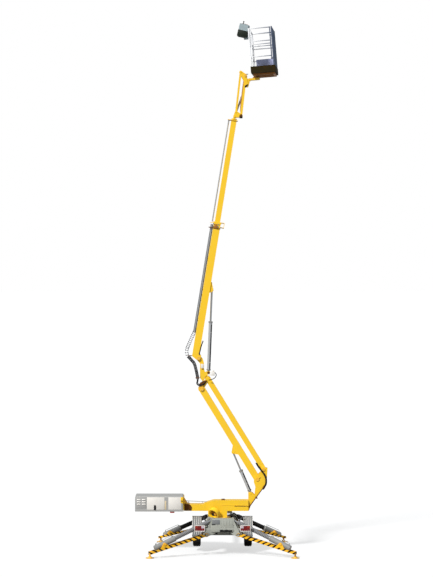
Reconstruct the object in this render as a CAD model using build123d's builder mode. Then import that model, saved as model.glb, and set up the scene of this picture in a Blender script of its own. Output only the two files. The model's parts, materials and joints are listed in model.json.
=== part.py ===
"""Towable articulating boom lift, standing on four outriggers with its boom raised.

Frame: millimetres, +Z up, +Y towards the tow coupling, origin on the ground under the slewing axis.
The arm, the boom and the jib all move in the plane y = 0, and a place in it is a pair (x, z).
A member's lean is its angle in degrees from the vertical towards +X.
Every sub-part is one node, written as one STEP file in the place that it has on the machine.
"""

import os
from math import atan2, cos, degrees, hypot, radians, sin

from build123d import *

os.makedirs("parts", exist_ok=True)

# ---- clearances and plate thicknesses -------------------------------------------------------
pin_play = 0.4  # radial gap between a pin and its bore
cheek_play = 0.5  # side gap between a boss and the cheek beside it
seat_gap = 0.3  # gap between pieces that rest on each other
swing_gap = 12  # least gap between pieces that pass each other
plate = 12
wall = 6

# ---- chassis --------------------------------------------------------------------------------
frame_half_width = 350
frame_rear = -850
frame_front = 450
nose_front = 700  # the lower nose of the frame, under the front rams
nose_top = 690
frame_bottom = 580
deck_top = 752
rail_width = 100
lamp_bar_y = -1170  # the bar behind the chassis that carries the tail lamps
lamp_bar_height = 697
lamp_offset = 567
lamp_width = 260
hinge_height = 520  # height of the outriggers' hinge pins
ram_pin_height = 845  # height of the pins that take the outriggers' rams
ram_pin_inset = 190  # how far inboard of the hinge pin the ram's pin lies

# ---- running gear ---------------------------------------------------------------------------
wheel_offset = 650
axle_height = 425
tyre_radius = 325
tyre_width = 200
rim_radius = 190
stub_radius = 30
guard_radius = 445
guard_width = 234
guard_sheet = 4
guard_skirt = 20  # how far below the axle the mudguards reach
stay_y = 250  # how far fore and aft of the axle the mudguards' stays stand

# ---- outriggers -----------------------------------------------------------------------------
# name, hinge x, hinge y, heading in degrees from +X, extra height of the ram's two pins
stations = [
    ("front_left", -420, 680, 145, 5),
    ("front_right", 420, 680, 35, 5),
    ("rear_left", -420, -950, 198, 50),
    ("rear_right", 420, -950, 342, 50),
]
leg_reach = 1450  # from the hinge pin to the middle of the foot
leg_tip_height = 130
leg_depth = 56
leg_inner = 76  # half the space between a leg's two bars
leg_bar = 20  # thickness of each bar
trunnion_reach = 1092
trunnion_height = 290
ram_pin_radius = 22
ram_barrel_radius = 70
ram_neck_radius = 45
ram_rod_radius = 25
ram_tail = 262  # how far the barrel runs past its trunnion
ram_barrel_front = 326
ram_barrel_length = 500  # from the trunnion to the gland
ram_eye_radius = 38
foot_radius = 105

# ---- turret ---------------------------------------------------------------------------------
bearing_top = 830
beam_bottom = 1015
beam_top = 1285
beam_half_width = 150
beam_left = -972
beam_arm_top = 1184  # top of the beam's low left arm
tower_left = 658
tower_inner = 82  # half the space between the tower's cheeks
tower_cheek = 15
box_left = -2210
box_right = -984
box_bottom = 1025
box_top = 1405
box_half_depth = 350
hood_base = 1067
hood_hinge = (12, 16)  # the hood's hinge, outside and above the box's far edge

# ---- lower arm and its levelling link -------------------------------------------------------
arm_pivot = (887, 1815)
arm_lean = -31.6
arm_length = 2700
arm_depth = 165
arm_half_width = 60
link_offset = (160, 250)  # from the arm's pins to the link's pins, at both ends
link_depth = 135
link_half_width = 52
lift_base = (716, 1458)
lift_eye_along = 901
lift_eye_across = -170
lift_barrel_radius = 42
lift_barrel_length = 631
lift_rod_radius = 22

# ---- knuckle and boom -----------------------------------------------------------------------
boom_pivot_offset = (-79, 774)  # from the arm's top pin
ram_base_offset = (254, -369)  # from the boom's pivot to its ram's base pin
boom_lean = 9.27
boom_across = -82  # the boom's middle line, from its pivot
outer_depth = 180
outer_half_width = 75
outer_foot = 110
outer_top = 3490
inner_depth = 137
inner_half_width = 53.5
inner_foot = 2830
inner_top = 6140
flange_along = 6090  # the flange near the inner boom's top
telescope_stroke = flange_along - outer_top - 20
boom_eye_along = 1758
boom_eye_across = 57.7
boom_barrel_radius = 45
boom_barrel_length = 1300
boom_rod_radius = 25
tray_across = -212
tray_foot = 635
tray_length = outer_top - 75 - tray_foot
tray_width = 62
tray_sheet = 4
carrier_radius = 16.5
hook_reach = 94  # how far the hook at the outer boom's top stands out

# ---- jib and platform -----------------------------------------------------------------------
head_along = 6200
head_cheek = 81
link_pin_along = 6308
link_pin_across = -64
jib_pin_along = 6240
jib_pin_across = 75.5
jib_lean = 6.5
jib_length = 1020
jib_depth = 60
jib_tube_inner = 50
jib_tube_outer = 80
jib_eye_along = 612
jib_barrel_radius = 24
jib_barrel_length = 420
jib_rod_radius = 14
turn_pin_offset = (272, -57)  # from the jib's top pin to the platform's turning pad
basket_lean = -4.5
basket_yaw = -5  # the platform stands turned by this much on its pin
basket_width = 620
basket_length = 1300
basket_left = -87  # the tray's edge, from the turning pin
tray_height = 160
mat = 3  # the raised tread on the platform's floor
rail_height = 1110
rail_radius = 18
console_size = (240, 320, 315)
console_place = (-146, 1135)  # beside the tray's edge and above its floor
console_tilt = 17.5


def point_at(start, lean, distance, across=0.0):
    """The place found distance along a member from start, and across it to its right side."""
    a = radians(lean)
    x = start[0] + distance * sin(a) + across * cos(a)
    z = start[1] + distance * cos(a) - across * sin(a)
    return (x, z)


def lean_of(start, end):
    """The lean of the line from start to end."""
    return degrees(atan2(end[0] - start[0], end[1] - start[1]))


def span(start, end):
    """The distance between two places."""
    return hypot(end[0] - start[0], end[1] - start[1])


def side_view(place=(0, 0), lean=0.0, y=0.0):
    """The plane of a side view: x runs across the member and y along it."""
    a = radians(lean)
    return Plane(origin=(place[0], y, place[1]), x_dir=(cos(a), 0, -sin(a)), z_dir=(0, -1, 0))


def cross_view(place, lean, distance=0.0, across=0.0):
    """The plane square to a member: x runs across it, y along the machine's Y, z along it."""
    a = radians(lean)
    x, z = point_at(place, lean, distance, across)
    return Plane(origin=(x, 0, z), x_dir=(cos(a), 0, -sin(a)), z_dir=(sin(a), 0, cos(a)))


def leg_view(hinge_x, hinge_y, heading, offset=0.0):
    """The upright plane of one outrigger: x runs outwards from its hinge and y upwards."""
    a = radians(heading)
    base = Plane(origin=(hinge_x, hinge_y, 0), x_dir=(cos(a), sin(a), 0), z_dir=(sin(a), -cos(a), 0))
    return base.offset(offset)


def discs(plane, radius, *places):
    """Round faces of one radius on a plane, at places in its own coordinates."""
    with BuildSketch(plane) as face:
        with Locations(*(places or [(0, 0)])):
            Circle(radius)
    return face.sketch


def block(plane, width, height, hollow=0.0):
    """A rectangular face on a plane, or a ring of the given wall thickness."""
    with BuildSketch(plane) as face:
        Rectangle(width, height)
        if hollow:
            Rectangle(width - 2 * hollow, height - 2 * hollow, mode=Mode.SUBTRACT)
    return face.sketch


def outline(plane, *points):
    """A face with straight edges through points in the plane's own coordinates."""
    with BuildSketch(plane) as face:
        with BuildLine():
            Polyline(*points, close=True)
        make_face()
    return face.sketch


def hull_of(plane, *rounds):
    """The face wrapped round several circles, each given as (x, y, radius)."""
    with BuildSketch(plane) as face:
        for x, y, radius in rounds:
            with Locations((x, y)):
                Circle(radius)
        make_hull()
    return face.sketch


def shifted(start, *offsets):
    """Places given by their offsets from start."""
    return [(start[0] + x, start[1] + z) for x, z in offsets]


def save(piece, name):
    """Labels a finished piece and writes its STEP file."""
    piece.part.label = name
    export_step(piece.part, f"parts/{name}.step")


# ---- places worked out from the sizes above -------------------------------------------------
link_pivot = (arm_pivot[0] + link_offset[0], arm_pivot[1] + link_offset[1])
arm_top = point_at(arm_pivot, arm_lean, arm_length)
boom_pivot = (arm_top[0] + boom_pivot_offset[0], arm_top[1] + boom_pivot_offset[1])
boom_ram_base = (boom_pivot[0] + ram_base_offset[0], boom_pivot[1] + ram_base_offset[1])
link_top = (arm_top[0] + link_offset[0], arm_top[1] + link_offset[1])
lift_eye = point_at(arm_pivot, arm_lean, lift_eye_along, lift_eye_across)
boom_eye = point_at(boom_pivot, boom_lean, boom_eye_along, boom_eye_across)
head_pin = point_at(boom_pivot, boom_lean, head_along, boom_across)
link_pin = point_at(boom_pivot, boom_lean, link_pin_along, link_pin_across)
jib_pin = point_at(boom_pivot, boom_lean, jib_pin_along, jib_pin_across)
jib_top = point_at(jib_pin, jib_lean, jib_length)
turn_pin = (jib_top[0] + turn_pin_offset[0], jib_top[1] + turn_pin_offset[1])
jib_link_top = (link_pin[0] + jib_top[0] - jib_pin[0], link_pin[1] + jib_top[1] - jib_pin[1])
jib_eye = point_at(jib_pin, jib_lean, jib_eye_along)


# ---- chassis --------------------------------------------------------------------------------
frame_length = frame_front - frame_rear
frame_middle = (frame_front + frame_rear) / 2
rail_depth = deck_top - plate - frame_bottom
rail_centre_z = frame_bottom + rail_depth / 2

with BuildPart() as chassis_frame:
    # two hollow side rails, the cross beams between them and the deck plate
    for side in (-1, 1):
        rail_x = side * (frame_half_width - rail_width / 2)
        rail_end = Plane(origin=(rail_x, frame_rear, rail_centre_z), x_dir=(1, 0, 0), z_dir=(0, 1, 0))
        extrude(block(rail_end, rail_width, rail_depth, wall), amount=frame_length)
    for beam_y in (frame_rear + 50, -230, 230, frame_front - 50):
        beam_end = Plane(origin=(-frame_half_width, beam_y, rail_centre_z), x_dir=(0, 1, 0), z_dir=(1, 0, 0))
        extrude(block(beam_end, rail_width, rail_depth), amount=2 * frame_half_width)
    with BuildSketch(Plane.XY.offset(deck_top - plate)):
        with Locations((0, frame_middle)):
            Rectangle(2 * frame_half_width, frame_length)
    extrude(amount=plate)
    # the lower nose: two short rails and the beam across their front
    nose_depth = nose_top - frame_bottom
    for side in (-1, 1):
        rail_x = side * (frame_half_width - rail_width / 2)
        nose_origin = (rail_x, frame_front - 1, frame_bottom + nose_depth / 2)
        nose_rail = Plane(origin=nose_origin, x_dir=(1, 0, 0), z_dir=(0, 1, 0))
        extrude(block(nose_rail, rail_width, nose_depth, wall), amount=nose_front - frame_front + 1)
    with Locations((0, nose_front - rail_width / 2, frame_bottom + nose_depth / 2)):
        Box(2 * frame_half_width, rail_width, nose_depth)
    # a bracket at each corner: a pod and two plates that hold the leg's hinge and the ram's pin
    for _, hinge_x, hinge_y, heading, rise in stations:
        pod = leg_view(hinge_x, hinge_y, heading)
        pod_top = [(-420, deck_top - 20), (-300, deck_top - 20), (-150, nose_top)]
        extrude(outline(pod, (-420, frame_bottom), *pod_top, (-110, frame_bottom)), amount=54, both=True)
        for side in (-1, 1):
            cheek = leg_view(hinge_x, hinge_y, heading, side * 48)
            rounds = [(0, hinge_height, 50), (-ram_pin_inset, ram_pin_height + rise, 45)]
            extrude(hull_of(cheek, *rounds, (-300, frame_bottom + 60, 55)), amount=6, both=True)
            cap = leg_view(hinge_x, hinge_y, heading, side * 57)
            extrude(discs(cap, 26, (-ram_pin_inset, ram_pin_height + rise)), amount=3, both=True)
            keeper = leg_view(hinge_x, hinge_y, heading, side * (leg_inner + leg_bar + 5))
            extrude(discs(keeper, 32, (0, hinge_height)), amount=4, both=True)
        extrude(discs(pod, ram_pin_radius, (0, hinge_height)), amount=leg_inner + leg_bar + 1, both=True)
    # hangers that carry the axle
    for side in (-1, 1):
        for y in (-56, 56):
            hanger = Plane(origin=(side * 300, y, 0), x_dir=(1, 0, 0), z_dir=(0, -1, 0))
            low = axle_height - 40
            corners = [(-45, frame_bottom), (-30, low), (30, low), (45, frame_bottom)]
            extrude(outline(hanger, *corners), amount=6, both=True)
    # stays that carry the mudguards
    stay_x = wheel_offset - guard_width / 2
    stay_foot = frame_bottom + 60
    stay_top = axle_height + ((guard_radius - guard_sheet) ** 2 - (stay_y + 10) ** 2) ** 0.5 - seat_gap
    stay_reach = stay_x + 10 - (frame_half_width - 20)
    for side in (-1, 1):
        for y in (-stay_y, stay_y):
            with Locations((side * (stay_x + 10 - stay_reach / 2), y, stay_foot)):
                Box(stay_reach, 20, 20)
            with Locations((side * stay_x, y, (stay_foot - 10 + stay_top) / 2)):
                Box(20, 20, stay_top - stay_foot + 10)
    # the bar that carries the tail lamps, on two arms
    for side in (-1, 1):
        with Locations((side * 60, (frame_rear + lamp_bar_y) / 2, lamp_bar_height)):
            Box(30, frame_rear - lamp_bar_y, 30)
    with Locations((0, lamp_bar_y, lamp_bar_height)):
        Box(2 * lamp_offset, 30, 30)
save(chassis_frame, "chassis_frame")

with BuildPart() as slew_bearing:
    with BuildSketch(Plane.XY.offset(deck_top)):
        Circle(210)
        Circle(140, mode=Mode.SUBTRACT)
    extrude(amount=bearing_top - deck_top)
    chamfer(slew_bearing.faces().sort_by(Axis.Z)[-1].outer_wire().edges(), 6)
save(slew_bearing, "slew_bearing")

with BuildPart() as axle_beam:
    # the square beam hangs between the hangers, with a round stub at each end
    beam_half = wheel_offset - tyre_width / 2 - 45
    beam_end = Plane(origin=(-beam_half, 0, axle_height), x_dir=(0, 1, 0), z_dir=(1, 0, 0))
    extrude(block(beam_end, 100, 80, 8), amount=2 * beam_half)
    for side in (-1, 1):
        stub = Plane(origin=(side * (beam_half - 20), 0, axle_height), x_dir=(0, 1, 0), z_dir=(side, 0, 0))
        extrude(discs(stub, 48), amount=34)
        extrude(discs(stub, stub_radius), amount=wheel_offset + 50 - beam_half + 20)
save(axle_beam, "axle_beam")

with BuildPart() as mudguards:
    # a rolled sheet over each wheel, with a lip turned down on its outer edge
    for side in (-1, 1):
        arch = Plane(origin=(side * stay_x, 0, axle_height), x_dir=(0, side, 0), z_dir=(side, 0, 0))
        lip_start = guard_width - guard_sheet
        for offset_in, depth, reach in ((0, guard_sheet, guard_width), (lip_start, 40, guard_sheet)):
            with BuildSketch(arch.offset(offset_in)):
                Circle(guard_radius)
                Circle(guard_radius - depth, mode=Mode.SUBTRACT)
                with Locations((0, -guard_radius - guard_skirt)):
                    Rectangle(2 * guard_radius + 20, 2 * guard_radius, mode=Mode.SUBTRACT)
            extrude(amount=reach)
save(mudguards, "mudguards")

with BuildPart() as tail_lamps:
    for side in (-1, 1):
        with Locations((side * lamp_offset, lamp_bar_y - 15 - 20 - seat_gap, lamp_bar_height + 20)):
            Box(lamp_width, 40, 140)
save(tail_lamps, "tail_lamps")

drawbar_top = frame_bottom - seat_gap
with BuildPart() as drawbar:
    bar_end = Plane(origin=(0, 180, drawbar_top - 50), x_dir=(1, 0, 0), z_dir=(0, 1, 0))
    extrude(block(bar_end, 100, 100, wall), amount=3000)
    # the bolted cap that closes its front end and carries the coupling
    bar_cap = Plane(origin=(0, 3180, drawbar_top - 50), x_dir=(1, 0, 0), z_dir=(0, 1, 0))
    extrude(block(bar_cap, 100, 100), amount=plate)
save(drawbar, "drawbar")

ball_radius = 25
coupling_y = 3192 + seat_gap
with BuildPart() as tow_coupling:
    shank = Plane(origin=(0, coupling_y, drawbar_top - 50), x_dir=(1, 0, 0), z_dir=(0, 1, 0))
    extrude(discs(shank, 45), amount=12)
    extrude(discs(shank, 32), amount=130)
    head = Plane.XY.offset(drawbar_top - 95)
    with BuildSketch(head):
        with Locations((0, coupling_y + 150)):
            Circle(48)
    extrude(amount=80)
    with BuildSketch(head):
        with Locations((0, coupling_y + 150)):
            Circle(ball_radius + 1)
    extrude(amount=55, mode=Mode.SUBTRACT)
    # the hand lever
    with Locations((0, coupling_y + 90, drawbar_top - 5)):
        Box(26, 150, 24)
save(tow_coupling, "tow_coupling")

jockey_x = 110
jockey_y = 2850
with BuildPart() as jockey_leg:
    # a clamp beside the drawbar, the outer tube and the winding handle on top
    with Locations(((50 + seat_gap + jockey_x) / 2, jockey_y, drawbar_top - 50)):
        Box(jockey_x - 50 - seat_gap, 70, 90)
    with BuildSketch(Plane.XY.offset(350)):
        with Locations((jockey_x, jockey_y)):
            Circle(32)
    extrude(amount=320)
    with BuildSketch(Plane.XY.offset(349)):
        with Locations((jockey_x, jockey_y)):
            Circle(20 + pin_play)
    extrude(amount=60, mode=Mode.SUBTRACT)
    with Locations((jockey_x + 50, jockey_y, 680)):
        Box(130, 16, 20)
    with Locations((jockey_x + 110, jockey_y, 720)):
        Cylinder(12, 100)
save(jockey_leg, "jockey_leg")

jockey_radius = 100
jockey_axle = 180
with BuildPart() as jockey_fork:
    with BuildSketch(Plane.XY.offset(350 - cheek_play - 60)):
        with Locations((jockey_x, jockey_y)):
            Rectangle(80, 60)
    extrude(amount=12)
    with BuildSketch(Plane.XY.offset(350 - cheek_play - 60)):
        with Locations((jockey_x, jockey_y)):
            Circle(20)
    extrude(amount=100)
    for side in (-1, 1):
        with Locations((jockey_x + side * 37, jockey_y, (jockey_axle - 25 + 301) / 2)):
            Box(6, 50, 301 - jockey_axle + 25)
    pin = Plane(origin=(jockey_x, jockey_y, jockey_axle), x_dir=(0, 1, 0), z_dir=(1, 0, 0))
    extrude(discs(pin, 10), amount=40, both=True)
save(jockey_fork, "jockey_fork")

with BuildPart() as jockey_wheel:
    pin = Plane(origin=(jockey_x, jockey_y, jockey_axle), x_dir=(0, 1, 0), z_dir=(1, 0, 0))
    extrude(discs(pin, jockey_radius), amount=26, both=True)
    extrude(discs(pin, 28), amount=34 - cheek_play, both=True)
    extrude(discs(pin, 10 + pin_play), amount=40, both=True, mode=Mode.SUBTRACT)
    fillet(jockey_wheel.edges().filter_by(GeomType.CIRCLE).filter_by(lambda e: e.radius > 90), 18)
save(jockey_wheel, "jockey_wheel")

with BuildPart() as control_valves:
    # the bank of outrigger valves on the deck, with its levers
    with Locations((190, 400, deck_top + 45)):
        Box(130, 90, 90)
    for i in range(4):
        with Locations((148 + 28 * i, 400, deck_top + 115)):
            Cylinder(6, 60)
save(control_valves, "control_valves")

# ---- wheels ---------------------------------------------------------------------------------
for side, word in ((-1, "left"), (1, "right")):
    hub = Plane(origin=(side * wheel_offset, 0, axle_height), x_dir=(0, 1, 0), z_dir=(side, 0, 0))
    with BuildPart() as rim:
        # the well, the disc and the hub, bored for the stub
        with BuildSketch(hub):
            Circle(rim_radius)
            Circle(rim_radius - 10, mode=Mode.SUBTRACT)
        extrude(amount=tyre_width / 2 - 20, both=True)
        extrude(discs(hub, rim_radius - 5), amount=8)
        extrude(discs(hub, 62), amount=50, both=True)
        extrude(discs(hub, 40), amount=70)
        with BuildSketch(hub):
            with PolarLocations(120, 8):
                Circle(20)
        extrude(amount=8, mode=Mode.SUBTRACT)
        extrude(discs(hub, stub_radius + pin_play), amount=52, both=True, mode=Mode.SUBTRACT)
    save(rim, f"rim_{word}")

    with BuildPart() as tyre:
        # a ring with rounded shoulders, seated on the rim
        with BuildSketch(Plane(origin=hub.origin, x_dir=(0, 0, 1), z_dir=(0, 1, 0))):
            with Locations(((tyre_radius + rim_radius + seat_gap) / 2, 0)):
                RectangleRounded(tyre_radius - rim_radius - seat_gap, tyre_width, 34)
        revolve(axis=Axis(hub.origin, (1, 0, 0)))
    save(tyre, f"tyre_{word}")

# ---- outriggers -----------------------------------------------------------------------------
leg_slope = atan2(leg_tip_height - hinge_height, leg_reach)
ram_slope = atan2(ram_pin_height - trunnion_height, -ram_pin_inset - trunnion_reach)
ram_length = hypot(ram_pin_height - trunnion_height, ram_pin_inset + trunnion_reach)


def on_leg(distance, lift=0.0):
    """A point in the leg's own plane, distance along its bars and lift above them."""
    x = distance * cos(leg_slope) - lift * sin(leg_slope)
    z = hinge_height + distance * sin(leg_slope) + lift * cos(leg_slope)
    return (x, z)


def ram_plane(hinge_x, hinge_y, heading, rise, distance):
    """The plane square to an outrigger's ram, distance from its trunnion towards its rod's eye."""
    a = radians(heading)
    reach = trunnion_reach + distance * cos(ram_slope)
    height = trunnion_height + rise + distance * sin(ram_slope)
    towards_eye = (cos(a) * cos(ram_slope), sin(a) * cos(ram_slope), sin(ram_slope))
    origin = (hinge_x + reach * cos(a), hinge_y + reach * sin(a), height)
    return Plane(origin=origin, x_dir=(sin(a), -cos(a), 0), z_dir=towards_eye)


bar_length = leg_reach / cos(leg_slope)
for name, hinge_x, hinge_y, heading, rise in stations:
    flat = (hinge_x, hinge_y, heading)
    trunnion = (trunnion_reach, trunnion_height + rise)
    with BuildPart() as leg:
        # two bars side by side, with a boss at the hinge and a bracket at the ram's trunnion
        for side in (-1, 1):
            bar = leg_view(*flat, side * (leg_inner + leg_bar / 2))
            with BuildSketch(bar):
                with Locations((0, hinge_height)):
                    Circle(45)
                with BuildLine():
                    Polyline(
                        on_leg(0, -leg_depth / 2),
                        on_leg(0, leg_depth / 2),
                        on_leg(bar_length, leg_depth / 2),
                        on_leg(bar_length + 25, -leg_depth / 2),
                        close=True,
                    )
                make_face()
            extrude(amount=leg_bar / 2, both=True)
            feet = [(*on_leg(1020, 0), leg_depth / 2), (*on_leg(1220, 0), leg_depth / 2)]
            extrude(hull_of(bar, (*trunnion, 40), *feet), amount=leg_bar / 2, both=True)
            boss = leg_view(*flat, side * (leg_inner + 54 + cheek_play) / 2)
            boss_half = (leg_inner - 54 - cheek_play) / 2 + 0.01
            extrude(discs(boss, 45, (0, hinge_height)), amount=boss_half, both=True)
        # the cross piece near the hinge and the block that takes the foot
        centre = leg_view(*flat)
        with BuildSketch(centre):
            with Locations(on_leg(330, -5)):
                Rectangle(50, 50)
        extrude(amount=leg_inner, both=True)
        with BuildSketch(centre):
            with BuildLine():
                Polyline(
                    on_leg(bar_length - 90, -leg_depth / 2),
                    on_leg(bar_length - 60, leg_depth / 2 - 4),
                    on_leg(bar_length - 4, leg_depth / 2 - 4),
                    on_leg(bar_length + 20, -leg_depth / 2),
                    close=True,
                )
            make_face()
        extrude(amount=leg_inner, both=True)
        extrude(
            discs(centre, ram_pin_radius + pin_play, (0, hinge_height)),
            amount=leg_inner + leg_bar + 5,
            both=True,
            mode=Mode.SUBTRACT,
        )
        extrude(
            discs(centre, ram_pin_radius + pin_play, trunnion),
            amount=leg_inner + leg_bar + 5,
            both=True,
            mode=Mode.SUBTRACT,
        )
        # the socket for the foot's stem
        a = radians(heading)
        foot_x = hinge_x + leg_reach * cos(a)
        foot_y = hinge_y + leg_reach * sin(a)
        with BuildSketch(Plane.XY):
            with Locations((foot_x, foot_y)):
                Circle(22 + seat_gap)
        extrude(amount=leg_tip_height, mode=Mode.SUBTRACT)
    save(leg, f"leg_{name}")

    with BuildPart() as foot:
        # a round pad with a raised middle and a stem
        with BuildSketch(Plane.XY):
            with Locations((foot_x, foot_y)):
                Circle(foot_radius)
        extrude(amount=12)
        with BuildSketch(Plane.XY.offset(12)):
            with Locations((foot_x, foot_y)):
                Circle(60)
        extrude(amount=30, taper=35)
        with BuildSketch(Plane.XY.offset(12)):
            with Locations((foot_x, foot_y)):
                Circle(22)
        extrude(amount=leg_tip_height - 12 - seat_gap)
    save(foot, f"foot_{name}")

    with BuildPart() as ram_barrel:
        # the thick end round the trunnion, a slimmer neck, and the trunnion pins
        thick_end = discs(ram_plane(*flat, rise, -ram_tail), ram_barrel_radius)
        extrude(thick_end, amount=ram_tail + ram_barrel_front)
        chamfer(ram_barrel.edges().filter_by(GeomType.CIRCLE), 14)
        neck = discs(ram_plane(*flat, rise, ram_barrel_front - 1), ram_neck_radius)
        extrude(neck, amount=ram_barrel_length - ram_barrel_front + 1)
        extrude(
            discs(leg_view(*flat), ram_pin_radius, trunnion),
            amount=leg_inner + leg_bar + 8,
            both=True,
        )
        bore = discs(ram_plane(*flat, rise, -ram_tail + 40), ram_rod_radius + pin_play)
        extrude(bore, amount=ram_tail - 40 + ram_barrel_length + 1, mode=Mode.SUBTRACT)
    save(ram_barrel, f"ram_barrel_{name}")

    with BuildPart() as ram_rod:
        # the rod and the eye at its inboard end
        rod_start = ram_barrel_length - 60
        extrude(discs(ram_plane(*flat, rise, rod_start), ram_rod_radius), amount=ram_length - rod_start)
        rod_eye = discs(leg_view(*flat), ram_eye_radius, (-ram_pin_inset, ram_pin_height + rise))
        extrude(rod_eye, amount=42 - cheek_play, both=True)
    save(ram_rod, f"ram_rod_{name}")

# ---- turret ---------------------------------------------------------------------------------
beam_profile = [
    (beam_left, beam_bottom + 3),
    (beam_left, beam_arm_top),
    (-490, beam_arm_top),
    (-420, beam_arm_top + 40),
    (-216, beam_top),
    (tower_left, beam_top),
    (tower_left, beam_bottom),
    (117, beam_bottom),
    (117, bearing_top + cheek_play + 20),
    (-300, bearing_top + cheek_play + 20),
    (-366, 920),
    (-366, beam_bottom),
]
with BuildPart() as turret_beam:
    # a welded box, hollow, with its pedestal and round base flange
    extrude(outline(side_view(), *beam_profile), amount=beam_half_width, both=True)
    with BuildSketch(side_view()):
        with BuildLine():
            Polyline(*beam_profile, close=True)
        make_face()
        offset(amount=-10, kind=Kind.INTERSECTION, mode=Mode.REPLACE)
    extrude(amount=beam_half_width - 10, both=True, mode=Mode.SUBTRACT)
    with BuildSketch(Plane.XY.offset(bearing_top + cheek_play)):
        Circle(200)
    extrude(amount=26)
    # the oval opening of the slewing drive and the web that it is bolted to
    with BuildSketch(side_view((-215, 930), -30)):
        Ellipse(66, 88)
    extrude(amount=beam_half_width + 5, mode=Mode.SUBTRACT)
    extrude(block(side_view((-235, 920), 0, -6), 262, 140), amount=6, both=True)
    # the flange that carries the power box, with its gussets
    with Locations((beam_left - 6, 0, box_bottom + 190)):
        Box(12, 640, 330)
    for side in (-1, 1):
        gusset = side_view((0, 0), 0, side * (beam_half_width - 6))
        corners = [(beam_left, beam_arm_top), (beam_left, beam_arm_top + 144), (beam_left + 90, beam_arm_top)]
        extrude(outline(gusset, *corners), amount=6, both=True)
save(turret_beam, "turret_beam")

tower_foot_x = tower_left + seat_gap
tower_profile = [
    (tower_foot_x, beam_bottom),
    (tower_foot_x, lift_base[1] + 10),
    *shifted(lift_base, (-32, 20), (46, 16), (102, -42)),
    *shifted(arm_pivot, (-46, -203), (-89, -76), (-67, 30), (89, 191)),
    *shifted(link_pivot, (-42, 40), (99, 30)),
    *shifted(arm_pivot, (238, -94)),
    (tower_foot_x + 58, beam_bottom + 122),
]
cheek_y = tower_inner + tower_cheek / 2
with BuildPart() as arm_tower:
    # two cheeks, the plates between them and the fixed pins of the arm, the link and the lift ram
    for side in (-1, 1):
        with BuildSketch(side_view((0, 0), 0, side * cheek_y)):
            with BuildLine():
                Polyline(*tower_profile, close=True)
            make_face()
            for place, radius in ((arm_pivot, arm_depth / 2 + 4), (link_pivot, 60), (lift_base, 36)):
                with Locations(place):
                    Circle(radius)
        extrude(amount=tower_cheek / 2, both=True)
    low_corner = (tower_foot_x + 54, beam_bottom + 129)
    high_corner = shifted(arm_pivot, (229, -94))[0]
    webs = [
        ((tower_foot_x + 7, beam_bottom), (tower_foot_x + 7, lift_base[1] - 90)),
        ((tower_foot_x + 12, beam_bottom + 10), low_corner),
        (low_corner, high_corner),
        (shifted(high_corner, (-2, -6))[0], shifted(link_pivot, (80, -120))[0]),
    ]
    for start, end in webs:
        foot_lean = lean_of(start, end)
        web = cross_view(start, foot_lean)
        extrude(block(web, 14, 2 * tower_inner + 2), amount=span(start, end))
    for place, radius in ((arm_pivot, 25), (link_pivot, 22), (lift_base, 20)):
        extrude(discs(side_view(place), radius), amount=tower_inner + tower_cheek + 6, both=True)
        for side in (-1, 1):
            washer = side_view(place, 0, side * (tower_inner + tower_cheek + 3))
            extrude(discs(washer, radius + 14), amount=3, both=True)
    # collars that keep the lift ram in the middle
    for side in (-1, 1):
        collar = side_view(lift_base, 0, side * (tower_inner + 36) / 2)
        extrude(discs(collar, 32), amount=(tower_inner - 36) / 2, both=True)
save(arm_tower, "arm_tower")

with BuildPart() as slew_drive:
    # the geared motor behind the oval opening
    extrude(discs(side_view((-232, 925), 0, -12.2), 52), amount=100)
    extrude(discs(side_view((-232, 925), 0, -12.2 - 100), 38), amount=28)
save(slew_drive, "slew_drive")

box_length = box_right - box_left
box_middle = (box_right + box_left) / 2
hood_axis = (box_half_depth + hood_hinge[0], hood_base + hood_hinge[1])
hinge_pin = 7
lug_offset = 58  # each of a hinge's two lugs, from its middle
lug_width = 12
hinge_places = (box_left + 160, box_right - 160)
with BuildPart() as power_box:
    # the floor and its upturned edge
    with Locations((box_middle, 0, (box_bottom + hood_base) / 2)):
        Box(box_length, 2 * box_half_depth, hood_base - box_bottom)
    with Locations((box_middle, 0, (box_bottom + hood_base) / 2 + plate)):
        Box(box_length - 16, 2 * box_half_depth - 16, hood_base - box_bottom, mode=Mode.SUBTRACT)
    # the fixed half of the hood's two hinges: a round pin between two lugs
    for x in hinge_places:
        hinge_line = Plane(origin=(x, *hood_axis), x_dir=(0, 1, 0), z_dir=(1, 0, 0))
        extrude(discs(hinge_line, hinge_pin), amount=60, both=True)
        for lug_x in (x - lug_offset, x + lug_offset):
            with Locations((lug_x, box_half_depth + 12, hood_base - 15)):
                Box(lug_width, 30, 30)
            with Locations((lug_x, box_half_depth + 14, hood_base + 14)):
                Box(lug_width, 26, 30)
save(power_box, "power_box")

with BuildPart() as battery_pack:
    with Locations((box_middle - 150, 0, box_bottom + plate + seat_gap + 125)):
        Box(620, 480, 250)
save(battery_pack, "battery_pack")

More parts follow.
